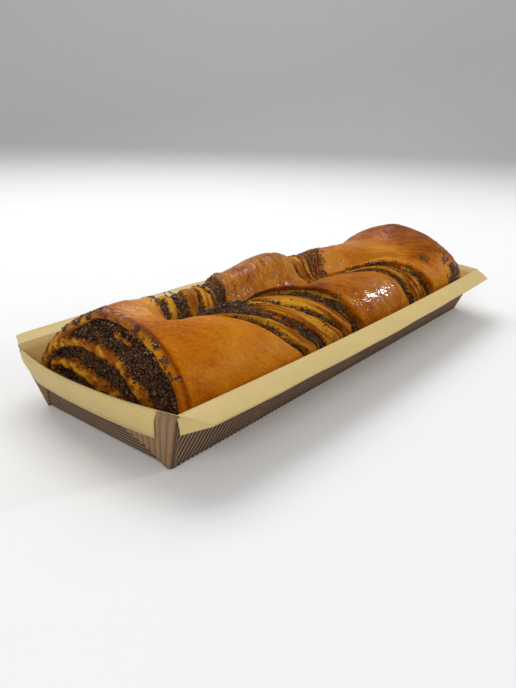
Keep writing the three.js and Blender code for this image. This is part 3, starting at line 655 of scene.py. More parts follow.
# ------------------------------------------------------------------ the roll's pieces
def lay_dough(sizes, u, phi):
    """The dough's skin over a grid of (u, phi), with marks for its colour.

    Plies stand as half rounds between the bands and are ridged along their length, the skin dips under the
    filling, and each lip hangs over the fan before it by a half wave of x.
    """
    skin = roll_surface(sizes, u, phi)
    x, stretch, upper = skin["x"], skin["stretch"], skin["upper"]
    arc = arc_length(phi)
    swell = lumps((x, arc, 0 * arc), 15, 3)
    slant = x - seam_shear(phi)
    ripple = lumps((slant, 0.25 * arc, 0 * arc), 2.8, 4)
    crust = (stretch % 2 == 0).astype(float)
    layer = lumps((skin["part"] * skin["width"] / 1.9, arc / 17, stretch), 1, 5)
    rise = np.minimum(sizes.ply_rise / MM, 0.42 * skin["ply_width"]) * skin["ply"]
    dip = sizes.band_depth / MM * smooth(skin["band"] / 0.9)
    ragged = (0.6 * layer + 0.4 * lumps((x, arc, 0 * arc), 2.2, 6)) * (1 - crust)
    radius = skin["radius"] + (rise - dip + ragged) * upper
    bead = bell((skin["lip"] - 3) / 2) * np.where(skin["back"] > 0.5, 1.2, 0.7)
    radius = radius + crust * upper * (0.45 * swell + sizes.wrinkle / MM * ripple + bead)
    lip = np.clip(skin["lip"] / 7, 0, 1)
    overhang = sizes.lip_overhang / MM * np.sin(math.pi * lip**0.75) * upper
    points = round_the_axis(sizes, x - overhang, np.maximum(radius, 0), phi)
    top = smooth((points[..., 2] - 32) / 24)
    near_rim = fade(x - skin["start"], 5) * (stretch == 0)
    sheltered = fade(skin["end"] - x, 9) * (stretch < 4)
    saddle = smooth((x - 78) / 30)
    browning = np.choose(stretch, [
        0.4 + 0.04 * top, 0.4, 0.32 + (0.36 - 0.22 * skin["back"]) * top, 0.4,
        0.18 + (0.16 + 0.4 * saddle) * top + 0.2 * smooth((x - 125) / 15)])
    pale = 0.22 + 0.45 * smooth((phi + 30) / 20) * (stretch == 0)
    browning = browning + 0.16 * swell + near_rim * (0.15 + 0.25 * top)
    browning = browning - pale * sheltered - 0.22 * skin["groove"]
    browning = browning + 0.35 * fade(skin["lip"], 4)
    rim = np.where(stretch == 0, x - skin["start"], FAR_OFF)
    browning = browning + 0.5 * bell((rim - 2.6) / 1.2) * smooth((points[..., 2] - 20) / 12)
    notch = 1.3 * bell((skin["end"] - x) / 3, (phi + 17) / 9) * (stretch == 0)
    bare = np.maximum(0.6 * bell(rim / 1.3), notch)
    edge = bell(np.minimum(skin["band"], 0) / 0.9) * (1 - crust)
    clusters = seed_clusters(points)
    clots = far_patch(x, phi) * smooth((clusters + 0.04) / 0.15)
    clots = clots + bell((rim - 1) / 1.1) * (points[..., 2] > 22) * smooth((clusters - 0.12) / 0.15)
    glaze = 0.012 + bell((x - 29) / 15, (phi + 70) / 13) * (stretch == 2)
    sheen = np.choose(stretch, [smooth((phi + 34) / 18), *[smooth((phi + 55) / 30)] * 4])
    glaze = glaze + sheen * top * np.choose(stretch, [0.28, 0, 0.24, 0, 0.16])
    creased = np.choose(stretch, [0.12 + 0 * x, 0.5, 0.6 + 0.4 * skin["back"], 0.5, 0.2 + 0.3 * skin["back"]])
    marks = {
        "browning": browning, "torn": np.maximum(1 - crust, bare),
        "stain": np.maximum(0.75 * edge, 2 * clots),
        "layer": layer, "band": skin["band"], "gloss": glaze * crust, "creased": creased,
        "clots": clots,
        "weave": np.stack([slant, arc, 0 * arc], -1) * MM,
    }
    return points, marks


def far_patch(x, phi):
    """Where seeds break through the crust low on the front of the whole end: 0 to 1."""
    return smooth((x - 113) / 10) * bell((phi + 78) / 17)


def lay_face(sizes, reach, phi, recess, paste):
    """The cut end as rings between its middle and the rim: reach 0 to 1 along each ray.

    The dough is proud as half rounds between the bands and dips behind the filling. The filling lies `recess`
    back, deeper under the rim at the top, and dips behind the dough. The core is hollow at its back, and both
    draw back low down, where the tray's end stands close.
    """
    rim, rim_marks = lay_dough(sizes, np.zeros_like(phi), phi)
    middle = sizes.axis_height / MM
    y = rim[..., 1] * reach
    z = middle + (rim[..., 2] - middle) * reach
    waver = 0.7 * lumps((y, z, 0 * y), 5, 20)
    depth, ply, width, first = face_bands(y + waver, z + waver)
    plane = sizes.face_x / MM - sizes.face_skew / MM * y / 45
    rough = lumps((y, z, 0 * y), 2.6, 21)
    crumbs = lumps((y, z, 0 * y), 1.8, 22)
    hollow = sizes.hollow / MM * bell((y - 28) / 7, (z - 20.5) / 3)
    under_rim = 4.5 * bell(first / 2.4) * smooth((z - 30) / 14)
    hollow = hollow + 3 * smooth((21 - z) / 12)
    if paste:
        back = recess + under_rim + 1.1 * rough + 1.1 * crumbs + 3 * smooth(-depth / 0.8) + hollow
    else:
        back = -np.minimum(0.9, 0.22 * width) * ply + 4 * smooth(depth / 0.9)
        back = back + 0.35 * rough + 0.2 * crumbs + hollow
    points = np.stack([plane + back, y, z], -1)
    edge = bell(np.minimum(depth, 0) / 0.9)
    torn = smooth((width - 0.2) / 0.6)
    inward = np.hypot(rim[..., 1] - y, rim[..., 2] - z) * MM
    weave = rim_marks["weave"] - inward[..., None] * (1, 0, 0)
    marks = {
        "browning": 0.6 + 0.25 * rough, "torn": np.maximum(torn, 0.5 * (depth > -2)), "stain": 0.7 * edge,
        "layer": 0.2 + rough, "band": depth, "gloss": 0.03 + 0 * depth, "creased": 0.4 + 0 * depth,
        "weave": weave,
        "clots": 0 * depth,
    }
    return points, marks


def closed_roll(sizes, face_rows, u_rows, around, skin, face):
    """One closed grid: rings out over the cut end from its middle, along the roll, and in to the tip."""
    reach, phi_face = grid_points(np.linspace(0, 1, face_rows, endpoint=False)[1:], around)
    u, phi = grid_points(u_rows, around)
    face_points, face_marks = face(reach, phi_face)
    skin_points, skin_marks = skin(u, phi)
    rings = np.concatenate([face_points, skin_points])
    start, end = face_points[0].mean(0), skin_points[-1].mean(0)
    across = len(around)
    vertices = np.concatenate([rings.reshape(-1, 3), [start, end]])
    quads = grid_faces(len(rings), across, True)
    column = np.arange(across)
    following = (column + 1) % across
    first, last = len(rings) * across, len(rings) * across + 1
    final = (len(rings) - 1) * across
    caps = np.concatenate([
        np.stack([np.full(across, first), following, column], -1),
        np.stack([np.full(across, last), final + column, final + following], -1),
    ])
    triangles = np.concatenate([quads[:, [0, 1, 2]], quads[:, [0, 2, 3]], caps])
    marks = {}
    for key in skin_marks:
        body = np.concatenate([face_marks[key], skin_marks[key]])
        flat = body.reshape(len(rings) * across, -1)
        marks[key] = np.concatenate([flat, flat[:across].mean(0)[None], flat[-across:].mean(0)[None]])
    return vertices, triangles, marks


def lay_paste(sizes, u, phi):
    """The filling over a grid of (u, phi): lumpy in the bands, sunk under the dough elsewhere."""
    skin = roll_surface(sizes, u, phi)
    arc = arc_length(phi)
    coarse = lumps((skin["x"], arc, 0 * arc), 3.6, 31)
    fine = lumps((skin["x"], arc, 0 * arc), 1.7, 32)
    mound = sizes.mound / MM * bell((phi + 25) / 11) * (skin["stretch"] == 1)
    mound = mound * smooth((skin["x"] + 108) / 10) * smooth((-58 - skin["x"]) / 26)
    height = -0.6 + 1.2 * coarse + 1.4 * fine + mound * (0.9 + 0.5 * coarse + 0.3 * fine)
    sunk = 4.5 * smooth(-skin["band"] / 0.9 + 0.2) * (1 - smooth(mound / 1.5))
    radius = skin["radius"] + (height - sunk) * skin["upper"]
    points = round_the_axis(sizes, skin["x"], np.maximum(radius, 0), phi)
    return points, {"band": np.maximum(skin["band"], 0.4 * mound)}


def seed_shape():
    """A poppy seed of length 1: an icosahedron drawn out and pinched in on one side like a kidney."""
    golden = (1 + 5**0.5) / 2
    corners = np.array([
        v for a in (-1, 1) for b in (-golden, golden) for v in ((0, a, b), (a, b, 0), (b, 0, a))
    ])
    corners = corners / np.linalg.norm(corners[0]) * 0.5
    close = np.linalg.norm(corners[:, None] - corners[None], axis=-1) < 0.53
    triangles = [
        (a, b, c) for a, b, c in itertools.combinations(range(len(corners)), 3)
        if close[a, b] and close[b, c] and close[a, c]
    ]
    faces = np.array([
        t if np.dot(np.cross(corners[t[1]] - corners[t[0]], corners[t[2]] - corners[t[0]]), corners[t[0]]) > 0
        else t[::-1]
        for t in triangles
    ])
    shape = corners * (1.0, 0.78, 0.7)
    shape[:, 1] += 0.06 * np.cos(shape[:, 0] * math.pi / 0.5)
    return shape, faces


def scatter_seeds(name, places, normals, lengths, heap, material, seed):
    """Seeds at those places in millimetres, turned at random and raised by up to `heap` of their length."""
    random = np.random.default_rng(seed)
    shape, faces = seed_shape()
    count = len(places)
    spin = random.normal(size=(count, 3))
    along = np.cross(normals, spin)
    along /= np.linalg.norm(along, axis=1, keepdims=True)
    lift = normals + 0.25 * random.normal(size=(count, 3))
    lift -= along * (along * lift).sum(1, keepdims=True)
    lift /= np.linalg.norm(lift, axis=1, keepdims=True)
    beside = np.cross(lift, along)
    turned = (
        shape[None, :, 0, None] * along[:, None] + shape[None, :, 1, None] * beside[:, None]
        + shape[None, :, 2, None] * lift[:, None]
    )
    raised = (random.uniform(-0.2, heap, count) * lengths)[:, None, None]
    vertices = places[:, None] + turned * lengths[:, None, None] + normals[:, None] * raised
    index = faces[None] + len(shape) * np.arange(count)[:, None, None]
    tone = np.repeat(random.uniform(0, 1, count), len(shape))
    return mesh_piece(
        name, vertices.reshape(-1, 3), index.reshape(-1, 3), material, "poppy_filling", "poppy_paste",
        {"tone": tone},
    )


def sample_grid(points, chance, per_mm2, random):
    """Random places on a grid of points, by area times chance: the places and their normals."""
    down = points[1:, :-1] - points[:-1, :-1]
    across = points[:-1, 1:] - points[:-1, :-1]
    normal = np.cross(across, down)
    area = np.linalg.norm(normal, axis=-1)
    expected = area * chance[:-1, :-1] * per_mm2
    number = np.floor(expected + random.uniform(0, 1, expected.shape)).astype(int)
    number = np.minimum(number, SEEDS_PER_CELL)
    cells = np.repeat(np.arange(number.size), number.ravel())
    start = points[:-1, :-1].reshape(-1, 3)[cells]
    places = (
        start + down.reshape(-1, 3)[cells] * random.uniform(0, 1, (len(cells), 1))
        + across.reshape(-1, 3)[cells] * random.uniform(0, 1, (len(cells), 1))
    )
    unit = (normal / np.maximum(area, 1e-9)[..., None]).reshape(-1, 3)[cells]
    return places, unit


# ------------------------------------------------------------------ the tray's pieces
def wall_point(sizes, side, t, z, out):
    """A point of the tray's wall: t from -1 to 1 along it, at height z, moved out; walls lean out and bow.

    The near end is lower towards the back corner.
    """
    t, z, out = np.broadcast_arrays(np.asarray(t, float), z, out)
    if side == "near":
        z = z * (1 - sizes.end_dip / sizes.height * smooth((0.3 - t) / 1.3))
    rise = z / (sizes.height / MM)
    half_length = (sizes.base_length + (sizes.top_length - sizes.base_length) * rise) / 2 / MM
    half_width = (sizes.base_width + (sizes.top_width - sizes.base_width) * rise) / 2 / MM
    bow = (1 - t * t) * rise
    sign = OUTWARD[side]
    if side in ("front", "back"):
        y = sign * (half_width + sizes.side_bulge / MM * bow + out)
        return np.stack([-sign * t * half_length, y, z], -1)
    return np.stack([sign * (half_length + sizes.end_bulge / MM * bow + out), sign * t * half_width, z], -1)


def rib(distance, pitch, narrow):
    """A rounded rib: 0 in the groove and 1 on the crest, once each pitch; a high power narrows the crest."""
    return np.abs(np.sin(math.pi * distance / pitch)) ** narrow


def ribbed_walls(sizes):
    """The brown outer sheets of the four walls: slanting ribs on the long sides, level ribs on the ends.

    A long wall's columns follow its ribs; past the wall's end they are squeezed into its last 0.3 mm, as
    0.09 / (0.6 - d) at d millimetres before the end.
    """
    top, depth = sizes.height / MM, sizes.rib_depth / MM
    pitch, end_pitch = sizes.rib_pitch / MM, sizes.end_rib_pitch / MM
    length = sizes.base_length / MM
    count = round(length / pitch)
    parts, groove_shade = [], []
    for side in ("front", "back", "near", "far"):
        if side in ("front", "back"):
            sign = OUTWARD[side]
            start, z = grid_points(np.linspace(-count / 2 - 6, count / 2 + 6, 8 * count + 97) * pitch,
                                   np.linspace(0, top - 0.5, 6))
            end = (sizes.base_length + (sizes.top_length - sizes.base_length) * z / top) / 2 / MM
            x = start - sign * sizes.rib_slant * z
            inside = end - np.abs(x)
            squeezed = np.where(inside > 0.3, inside, 0.09 / (0.6 - np.minimum(inside, 0.3)))
            t = -sign * np.sign(x) * (end - squeezed) / end
            wave = rib(start, pitch, 1.3)
            if side == "back":
                t, wave = t[::-1], wave[::-1]
        else:
            t, z = grid_points(np.linspace(-0.97, 0.97, 41), np.linspace(0, top - 0.5, 130))
            wave = rib(z, end_pitch, 2.2)
        waver = 0.12 * lumps((t * 60, z, 0 * t), 7, 61)
        outer = wall_point(sizes, side, t, z, depth * wave + waver * rib(t, 2, 1) - 0.12)
        parts.append(sheet_mesh(outer, wall_point(sizes, side, t, z, -0.45 + 0 * z)))
        # painted shade: dark in each groove between the ribs, and an even shade over the inner face
        groove_shade += [(1 - wave).ravel(), np.full(wave.size, 0.3)]
    return join_meshes(parts), np.concatenate(groove_shade)


def lining(sizes):
    """The smooth cream sheets inside the walls and on the floor, faintly ribbed by the corrugation."""
    top = sizes.height / MM
    parts = []
    for side in ("front", "back", "near", "far"):
        t, z = grid_points(np.linspace(-1, 1, 241), np.linspace(0.6, top - 0.2, 9))
        ridge = 0.05 * np.sin(t * 330) if side in ("front", "back") else 0.05 * np.sin(z * 3)
        inner = wall_point(sizes, side, t, z, -0.95 + ridge)
        parts.append(sheet_mesh(wall_point(sizes, side, t, z, -0.5), inner))
    parts.append(floor_sheet(sizes, 0.55, 1.0))
    return join_meshes(parts)


def floor_sheet(sizes, low, high):
    """A flat sheet of the floor between two heights, a little inside the walls' feet."""
    x, y = grid_points(
        np.linspace(-1, 1, 40) * (sizes.base_length / MM / 2 - 0.5),
        np.linspace(-1, 1, 14) * (sizes.base_width / MM / 2 - 0.5))
    return sheet_mesh(np.stack([x, y, high + 0 * x], -1), np.stack([x, y, low + 0 * x], -1))


def corner_flaps(sizes):
    """Flaps folded round the corners onto the ends: upright ribs, and a foot rising from the corner."""
    top = sizes.height / MM - 0.1
    half = sizes.base_width / MM / 2
    parts, groove_shade = [], []
    for side in ("near", "far"):
        for corner in (-1, 1):
            wide = (side == "near") == (corner > 0)
            flap = (sizes.flap_reach if wide else sizes.small_flap_reach) / MM
            reach, up = grid_points(np.linspace(0, flap, 97), np.linspace(0, 1, 15))
            flat = 3 if wide else 0.6
            foot = np.clip((reach - flat) / (flap - flat), 0, 1) * (sizes.height - sizes.band_height) / MM
            uneven = lumps((reach, 0 * reach, 0 * reach), 1.6, 63)
            foot = foot + (0.5 if wide else 0.2) * uneven * (reach > flat)
            height = foot + (top - foot) * up
            pitch = (sizes.rib_pitch if wide else sizes.small_flap_pitch) / MM
            wave = rib(reach, pitch, 0.7 if wide else 1.5)
            if corner > 0:
                reach, height, wave = reach[::-1], height[::-1], wave[::-1]
            t = corner * (1 - reach / half)
            away = 0.1 + 1.0 * smooth((top - height) / 5)
            outer = wall_point(sizes, side, t, height, away + 0.6 * sizes.rib_depth / MM * wave)
            parts.append(sheet_mesh(outer, wall_point(sizes, side, t, height, -0.5 + 0 * away)))
            # painted shade: dark in the grooves of the flaps' ribs, and an even shade over their inner face
            groove_shade += [(0.35 if wide else 0.8) * (1 - wave).ravel(), np.full(wave.size, 0.3)]
    return join_meshes(parts), np.concatenate(groove_shade)


def side_hem(sizes, side):
    """The hem along a long side: it slopes down and out from the fold, and waves a little.

    The front hem's near corner is folded down along a slanting crease, as a flat triangle; the other ends are
    cut back.
    """
    away = OUTWARD[side]
    steps = np.sin(np.linspace(-math.pi / 2, math.pi / 2, 241))
    t, across = grid_points(steps, np.linspace(0, 1, 13))
    from_near = (1 - t * away) * sizes.top_length / MM / 2
    bend = np.clip(across - from_near / (sizes.hem_bent / MM), 0, 1) if side == "front" else 0 * t
    slope = sizes.front_hem_slope if side == "front" else sizes.back_hem_slope
    drop = slope + 2.5 * DEG * lumps((t * 150, 0 * t, 0 * t), 26, 65 + away)
    fold = wall_point(sizes, side, t, sizes.height / MM, 0 * t)
    cut = 7 * smooth((np.abs(t) - 0.93) / 0.07) * np.where(t * away > 0, 0.8 * (side == "back"), 1)
    width = sizes.hem_width / MM * across

    def sheet(thick):
        """The fold's line moved out along the slope by the hem's width, and down by its thickness."""
        curl = 0.5 * np.sin(math.pi * across)
        return np.stack([
            fold[..., 0] - np.sign(fold[..., 0]) * cut * across,
            fold[..., 1] + away * (width * np.cos(drop) - (thick - curl) * np.sin(drop) - 0.95 * (1 - across)
                                   - 9.3 * bend),
            fold[..., 2] - width * np.sin(drop) - (thick - curl) * np.cos(drop) - 4.2 * bend,
        ], -1)

    return sheet_mesh(sheet(0), sheet(0.5))


def end_band(sizes, side):
    """The hem of an end, folded down flat over the flaps: from the fold to the band's height below it.

    It stops short of one corner, and its other end is cut slanting, further back the lower it comes.
    """
    share, down = grid_points(np.linspace(0, 1, 61), np.array([0, 0.03, 0.1, 0.2, 0.35, 0.5, 0.75, 1]))
    reach = sizes.band_end / (sizes.top_width / 2)
    slant = sizes.band_cut / (sizes.top_width / 2) * down
    low, high = (-reach, 0.995 - slant) if side == "near" else (slant - 0.995, reach)
    t = low + (high - low) * share
    z = (sizes.height - sizes.band_height * down) / MM
    stand = 0.45 + 1.6 * smooth(down / 0.35) + 0.25 * lumps((t * 50, z, 0 * t), 12, 67)
    inner = np.where(down == 0, -0.95, stand)
    outside = wall_point(sizes, side, -t, z, stand + 0.5)
    return sheet_mesh(outside[::-1], wall_point(sizes, side, -t, z, inner)[::-1])


# ------------------------------------------------------------------ settings
def length(name, description, default):
    """A length in metres, as a setting."""
    return FloatProperty(name=name, description=description, default=default, unit="LENGTH")


def colour(name, description, default):
    """A colour from 0 to 1 in red, green and blue, as a setting."""
    return FloatVectorProperty(name=name, description=description, default=default, subtype="COLOR", min=0,
                               max=1)


def angle(name, description, default):
    """An angle in radians, as a setting."""
    return FloatProperty(name=name, description=description, default=default, subtype="ANGLE")


def amount(name, description, default):
    """A number that is never below 0, as a setting."""
    return FloatProperty(name=name, description=description, default=default, min=0)


class RollSizes(bpy.types.PropertyGroup):
    axis_height: length("Axis height", "Height of the roll's axis above the table", 0.022)
    half_width: length("Half width", "Half the roll's width at its axis", 0.048)
    face_x: length("Cut end", "X of the middle of the cut end", -0.147)
    face_skew: length("Skew of the cut end",
                      "How far the cut end's sides stand before and behind its middle", 0.0028)
    end_x: length("Whole end", "X of the tip of the whole end", 0.156)
    groove_depth: length("Groove", "Depth of the groove between the lumps", 0.013)
    ply_rise: length("Ply rise", "How far a ply of dough stands proud in a fan", 0.0015)
    band_depth: length("Band depth", "How far the dough dips under the filling", 0.0034)
    hollow: length("Core hollow", "Depth of the hollow in the core of the cut end", 0.008)
    lip_overhang: length("Lip overhang", "How far a crust's lip hangs over the fan before it", 0.0022)
    wrinkle: length("Wrinkles", "Height of the crust's fine wrinkles", 0.00024)
    mound: length("Mound", "Height of the heap of filling in the groove", 0.0056)
    face_recess: length("Face recess", "How far the filling sits back in the cut end", 0.0016)


class RollLooks(bpy.types.PropertyGroup):
    crust_pale: colour("Pale crust", "Least baked crust, in the groove and low on the sides",
                       (0.64, 0.25, 0.012))
    crust_gold: colour("Golden crust", "Crust on the sides", (0.46, 0.128, 0.002))
    crust_brown: colour("Brown crust", "Crust on the crowns", (0.185, 0.032, 0.001))
    torn_gold: colour("Torn dough, gold", "Paler streaks of the torn layers", (0.72, 0.35, 0.022))
    torn_orange: colour("Torn dough, orange", "Darker streaks of the torn layers", (0.31, 0.076, 0.004))
    seed_stain: colour("Seed stain", "Dough darkened by seed beside a band", (0.06, 0.022, 0.008))
    paste_dark: colour("Paste, dark", "Shadows between the seeds", (0.014, 0.007, 0.004))
    paste_brown: colour("Paste, brown", "Paste between the seeds", (0.17, 0.068, 0.018))
    seed_dark: colour("Seed, dark", "The darkest seeds", (0.012, 0.008, 0.007))
    seed_brown: colour("Seed, brown", "Most seeds", (0.115, 0.062, 0.04))
    # painted highlight: the colour of the few seeds painted pale in place of their glints
    seed_highlight: colour("Seed, pale", "A few pale seeds", (0.40, 0.25, 0.15))


class FillingSizes(bpy.types.PropertyGroup):
    seed_length: length("Seed length", "Length of a poppy seed", 0.00118)
    seed_share: FloatProperty(name="Seeds per mm²", description="Seeds on each square millimetre of filling",
                              default=0.95, min=0.1, max=2)
    random_seed: IntProperty(name="Random seed", description="Which random scatter of seeds is used",
                             default=5)


class TraySizes(bpy.types.PropertyGroup):
    top_length: length("Length at the folds", "Tray length between its end folds", 0.310)
    top_width: length("Width at the folds", "Tray width between its side folds", 0.110)
    base_length: length("Base length", "Length of the floor", 0.296)
    base_width: length("Base width", "Width of the floor", 0.087)
    height: length("Height", "Height of the folds above the table", 0.0314)
    end_bulge: length("End bulge", "How far the ends bow out at the rim", 0.008)
    side_bulge: length("Side bulge", "How far the sides bow out at the rim", 0.0032)
    rib_depth: length("Rib depth", "Height of the corrugation", 0.0007)
    rib_pitch: length("Rib pitch", "Distance between the upright ribs", 0.0028)
    rib_slant: FloatProperty(name="Rib slant",
                             description="How far the upright ribs lean along X for each metre up",
                             default=0.3)
    end_rib_pitch: length("End rib pitch", "Distance between the level ribs of the ends", 0.0021)
    end_dip: length("Dip of the near end", "How far the near end's fold is lower at the back corner", 0.0028)
    hem_width: length("Hem width", "Width of the hems along the sides", 0.011)
    hem_bent: length("Bent part of the hem", "How far along the front hem its folded corner reaches", 0.008)
    front_hem_slope: angle("Slope of the front hem", "How far it slopes down and out", 18 * DEG)
    back_hem_slope: angle("Slope of the back hem", "How far it slopes down and out", 0.0)
    band_height: length("Band height", "Height of the hems folded down on the ends", 0.0145)
    band_end: length("Band end", "Where a band stops short of the corner", 0.046)
    band_cut: length("Band cut", "How far a band's slanting end is cut back at the bottom", 0.0085)
    flap_reach: length("Flap reach", "How far the wide corner flaps reach round the ends", 0.027)
    small_flap_reach: length("Small flap reach", "How far the other corner flaps reach", 0.013)
    small_flap_pitch: length("Small flap pitch", "Distance between the ribs of the small flaps", 0.0017)


class TrayLooks(bpy.types.PropertyGroup):
    cream_light: colour("Cream, light", "Lining and hems", (0.64, 0.48, 0.18))
    cream_dark: colour("Cream, dark", "Darker clouds of the lining", (0.55, 0.41, 0.155))
    brown_light: colour("Brown, light", "Crests of the corrugation", (0.37, 0.225, 0.128))
    brown_dark: colour("Brown, dark", "Darker clouds of the brown paper", (0.21, 0.125, 0.075))
    flap_light: colour("Flap, light", "Corner flaps, whose ribs are pressed flat", (0.35, 0.205, 0.10))
    flap_dark: colour("Flap, dark", "Darker clouds of the flaps", (0.21, 0.12, 0.058))


class StageSettings(bpy.types.PropertyGroup):
    camera_place: FloatVectorProperty(name="Camera", description="Where the camera stands", subtype="XYZ",
                                      unit="LENGTH", default=(-0.30106, -0.207535, 0.144262))
    camera_yaw: angle("Yaw", "Which way the camera looks, from +X", 0.66688)
    camera_pitch: angle("Pitch", "How far it looks down", 0.374925)
    camera_roll: angle("Roll", "How far it is tipped", 0.030756)
    focal_pixels: FloatProperty(name="Focal length", description="In pixels of the 516 x 688 picture",
                                default=619.95)
    floor_colour: colour("Floor", "The pale table", (0.9, 0.9, 0.9))
    sky: amount("Sky", "Strength of the light from all round", 0.36)
    key: amount("Key", "Power of the soft light above and behind, in watts", 8.6)
    fill: amount("Fill", "Power of the soft light beside the camera, in watts", 5.6)
    glint: amount("Glint", "Power of the small light that makes glints, in watts", 4.2)
    backdrop: length("Backdrop", "How far behind the object the pale table bends upwards", 1.6)


# ------------------------------------------------------------------ operators
class DoughOperator(bpy.types.Operator):
    """Lay the dough: crust, torn plies and cut end as one closed skin"""

    bl_idname = "poppyroll.dough"
    bl_label = "Dough"

    def execute(self, context):
        """The closed skin of the dough over its rows and columns, in its crust material."""
        sizes, looks = context.scene.roll_sizes, context.scene.roll_looks
        vertices, faces, marks = closed_roll(
            sizes, 46, rows((66, 112, 84, 74, 86)), columns(170, 34),
            lambda u, phi: lay_dough(sizes, u, phi),
            lambda reach, phi: lay_face(sizes, reach, phi, 0, False),
        )
        mesh_piece("baked_dough", vertices, faces, crust_material(looks), "dough", "baked_dough", marks)
        return {"FINISHED"}


class FillingOperator(bpy.types.Operator):
    """Lay the paste of the filling and scatter its seeds"""

    bl_idname = "poppyroll.filling"
    bl_label = "Poppy filling"

    def execute(self, context):
        """The paste as a closed skin, then seeds over the fans, the cut end and the dough."""
        scene = context.scene
        sizes, looks, filling = scene.roll_sizes, scene.roll_looks, scene.filling_sizes
        recess = sizes.face_recess / MM
        vertices, faces, _ = closed_roll(
            sizes, 84, rows((5, 116, 6, 76, 8)), columns(216, 34),
            lambda u, phi: lay_paste(sizes, u, phi),
            lambda reach, phi: lay_face(sizes, reach, phi, recess, True),
        )
        mesh_piece("poppy_paste", vertices, faces, paste_material(looks), "poppy_filling", "poppy_paste")
        random = np.random.default_rng(filling.random_seed)
        material = seed_material(looks)
        share = filling.seed_share
        for name, stretch, low, high, seed in SEEDED_FANS:
            around = np.linspace(low, high, round((high - low) / 0.86))
            u, phi = grid_points(stretch + np.linspace(0.005, 0.985, 110), around)
            points, marks = lay_paste(sizes, u, phi)
            found = [sample_grid(points, (marks["band"] > 0).astype(float), share, random)]
            self.scatter(name, found, FAN_HEAP, filling, material, seed)
        reach, phi = grid_points(np.linspace(0.02, 0.99, 80), np.linspace(-100, 100, 200))
        points, marks = lay_face(sizes, reach, phi, recess, True)
        places, normals = sample_grid(points, (marks["band"] > 0).astype(float), share, random)
        found = [(places, -normals)]
        points, marks = lay_face(sizes, reach, phi, 0, False)
        chance = 0.5 * bell(np.minimum(marks["band"], 0) / 0.8) * (marks["band"] < 0) + 0.03
        places, normals = sample_grid(points, chance, share, random)
        self.scatter("face_seeds", [*found, (places, -normals)], FACE_HEAP, filling, material, 42)
        u, phi = grid_points(np.linspace(0, 4.97, 620), np.linspace(-96, 92, 220))
        points, marks = lay_dough(sizes, u, phi)
        found = [sample_grid(points, self.stray_chance(points, marks, u, phi), share, random)]
        self.scatter("stray_seeds", found, STRAY_HEAP, filling, material, 43)
        return {"FINISHED"}

    def stray_chance(self, points, marks, u, phi):
        """Where single seeds lie: beside the bands, on the rim, on the lips and at the whole end."""
        x, z = points[..., 0], points[..., 2]
        clusters = seed_clusters(points)
        chance = 0.36 * bell(np.minimum(marks["band"], 0) / 0.9) * (marks["band"] < 0) * (marks["band"] > -9)
        chance = chance + 0.06 * (np.floor(u) % 2 == 1) * (marks["band"] < 0) * (clusters > 0.25)
        chance = chance + 3.5 * marks["clots"]
        for low in (2, 4):
            near = bell(np.clip((u - low) / 0.05, 0, None)) * (u >= low) * (z > 34)
            chance = chance + 1.6 * near * smooth((clusters - 0.1) / 0.2)
        notch = bell((u - 0.97) / 0.06, (phi + 4) / 14) * (u < 1)
        chance = chance + 1.2 * notch * (clusters > -0.1)
        spot = np.exp(-((x - 100) ** 2 + ((phi + 56) * 0.75) ** 2) / 5)
        return np.clip(chance + 3 * spot, 0, 3.2)

    def scatter(self, name, found, heap, filling, material, seed):
        """Turns pairs of places and normals into one joined piece of seeds of uneven length."""
        places, normals = (np.concatenate(part) for part in zip(*found))
        random = np.random.default_rng(seed)
        lengths = filling.seed_length / MM * random.uniform(0.8, 1.15, len(places))
        scatter_seeds(name, places, normals, lengths, heap, material, seed)


class TrayOperator(bpy.types.Operator):
    """Make the corrugated paper tray: walls, lining, floor, corner flaps, hems and end bands"""

    bl_idname = "poppyroll.tray"
    bl_label = "Baking tray"

    def execute(self, context):
        """Three kinds of paper, then each piece of the tray in its own."""
        sizes, looks = context.scene.tray_sizes, context.scene.tray_looks
        brown = paper_material("brown_corrugated_paper", looks.brown_light, looks.brown_dark, (1, 1, 6), 0.85)
        cream = paper_material("cream_paper", looks.cream_light, looks.cream_dark, (5, 1, 1), 0.6)
        node, slot = "baking_tray", "corrugated_paper"
        walls, groove_shade = ribbed_walls(sizes)
        mesh_piece("ribbed_walls", *walls, brown, node, slot, {"groove": groove_shade})
        flaps, groove_shade = corner_flaps(sizes)
        bare = paper_material("bare_brown_paper", looks.flap_light, looks.flap_dark, (1, 1, 8), 0.85)
        mesh_piece("corner_flaps", *flaps, bare, node, slot, {"groove": groove_shade})
        mesh_piece("tray_bottom", *floor_sheet(sizes, 0.0, 0.5), brown, node, slot)
        mesh_piece("cream_lining", *lining(sizes), cream, node, slot)
        hems = join_meshes([side_hem(sizes, side) for side in ("front", "back")])
        mesh_piece("side_hems", *hems, cream, node, slot)
        bands = join_meshes([end_band(sizes, side) for side in ("near", "far")])
        mesh_piece("end_bands", *bands, cream, node, slot)
        return {"FINISHED"}


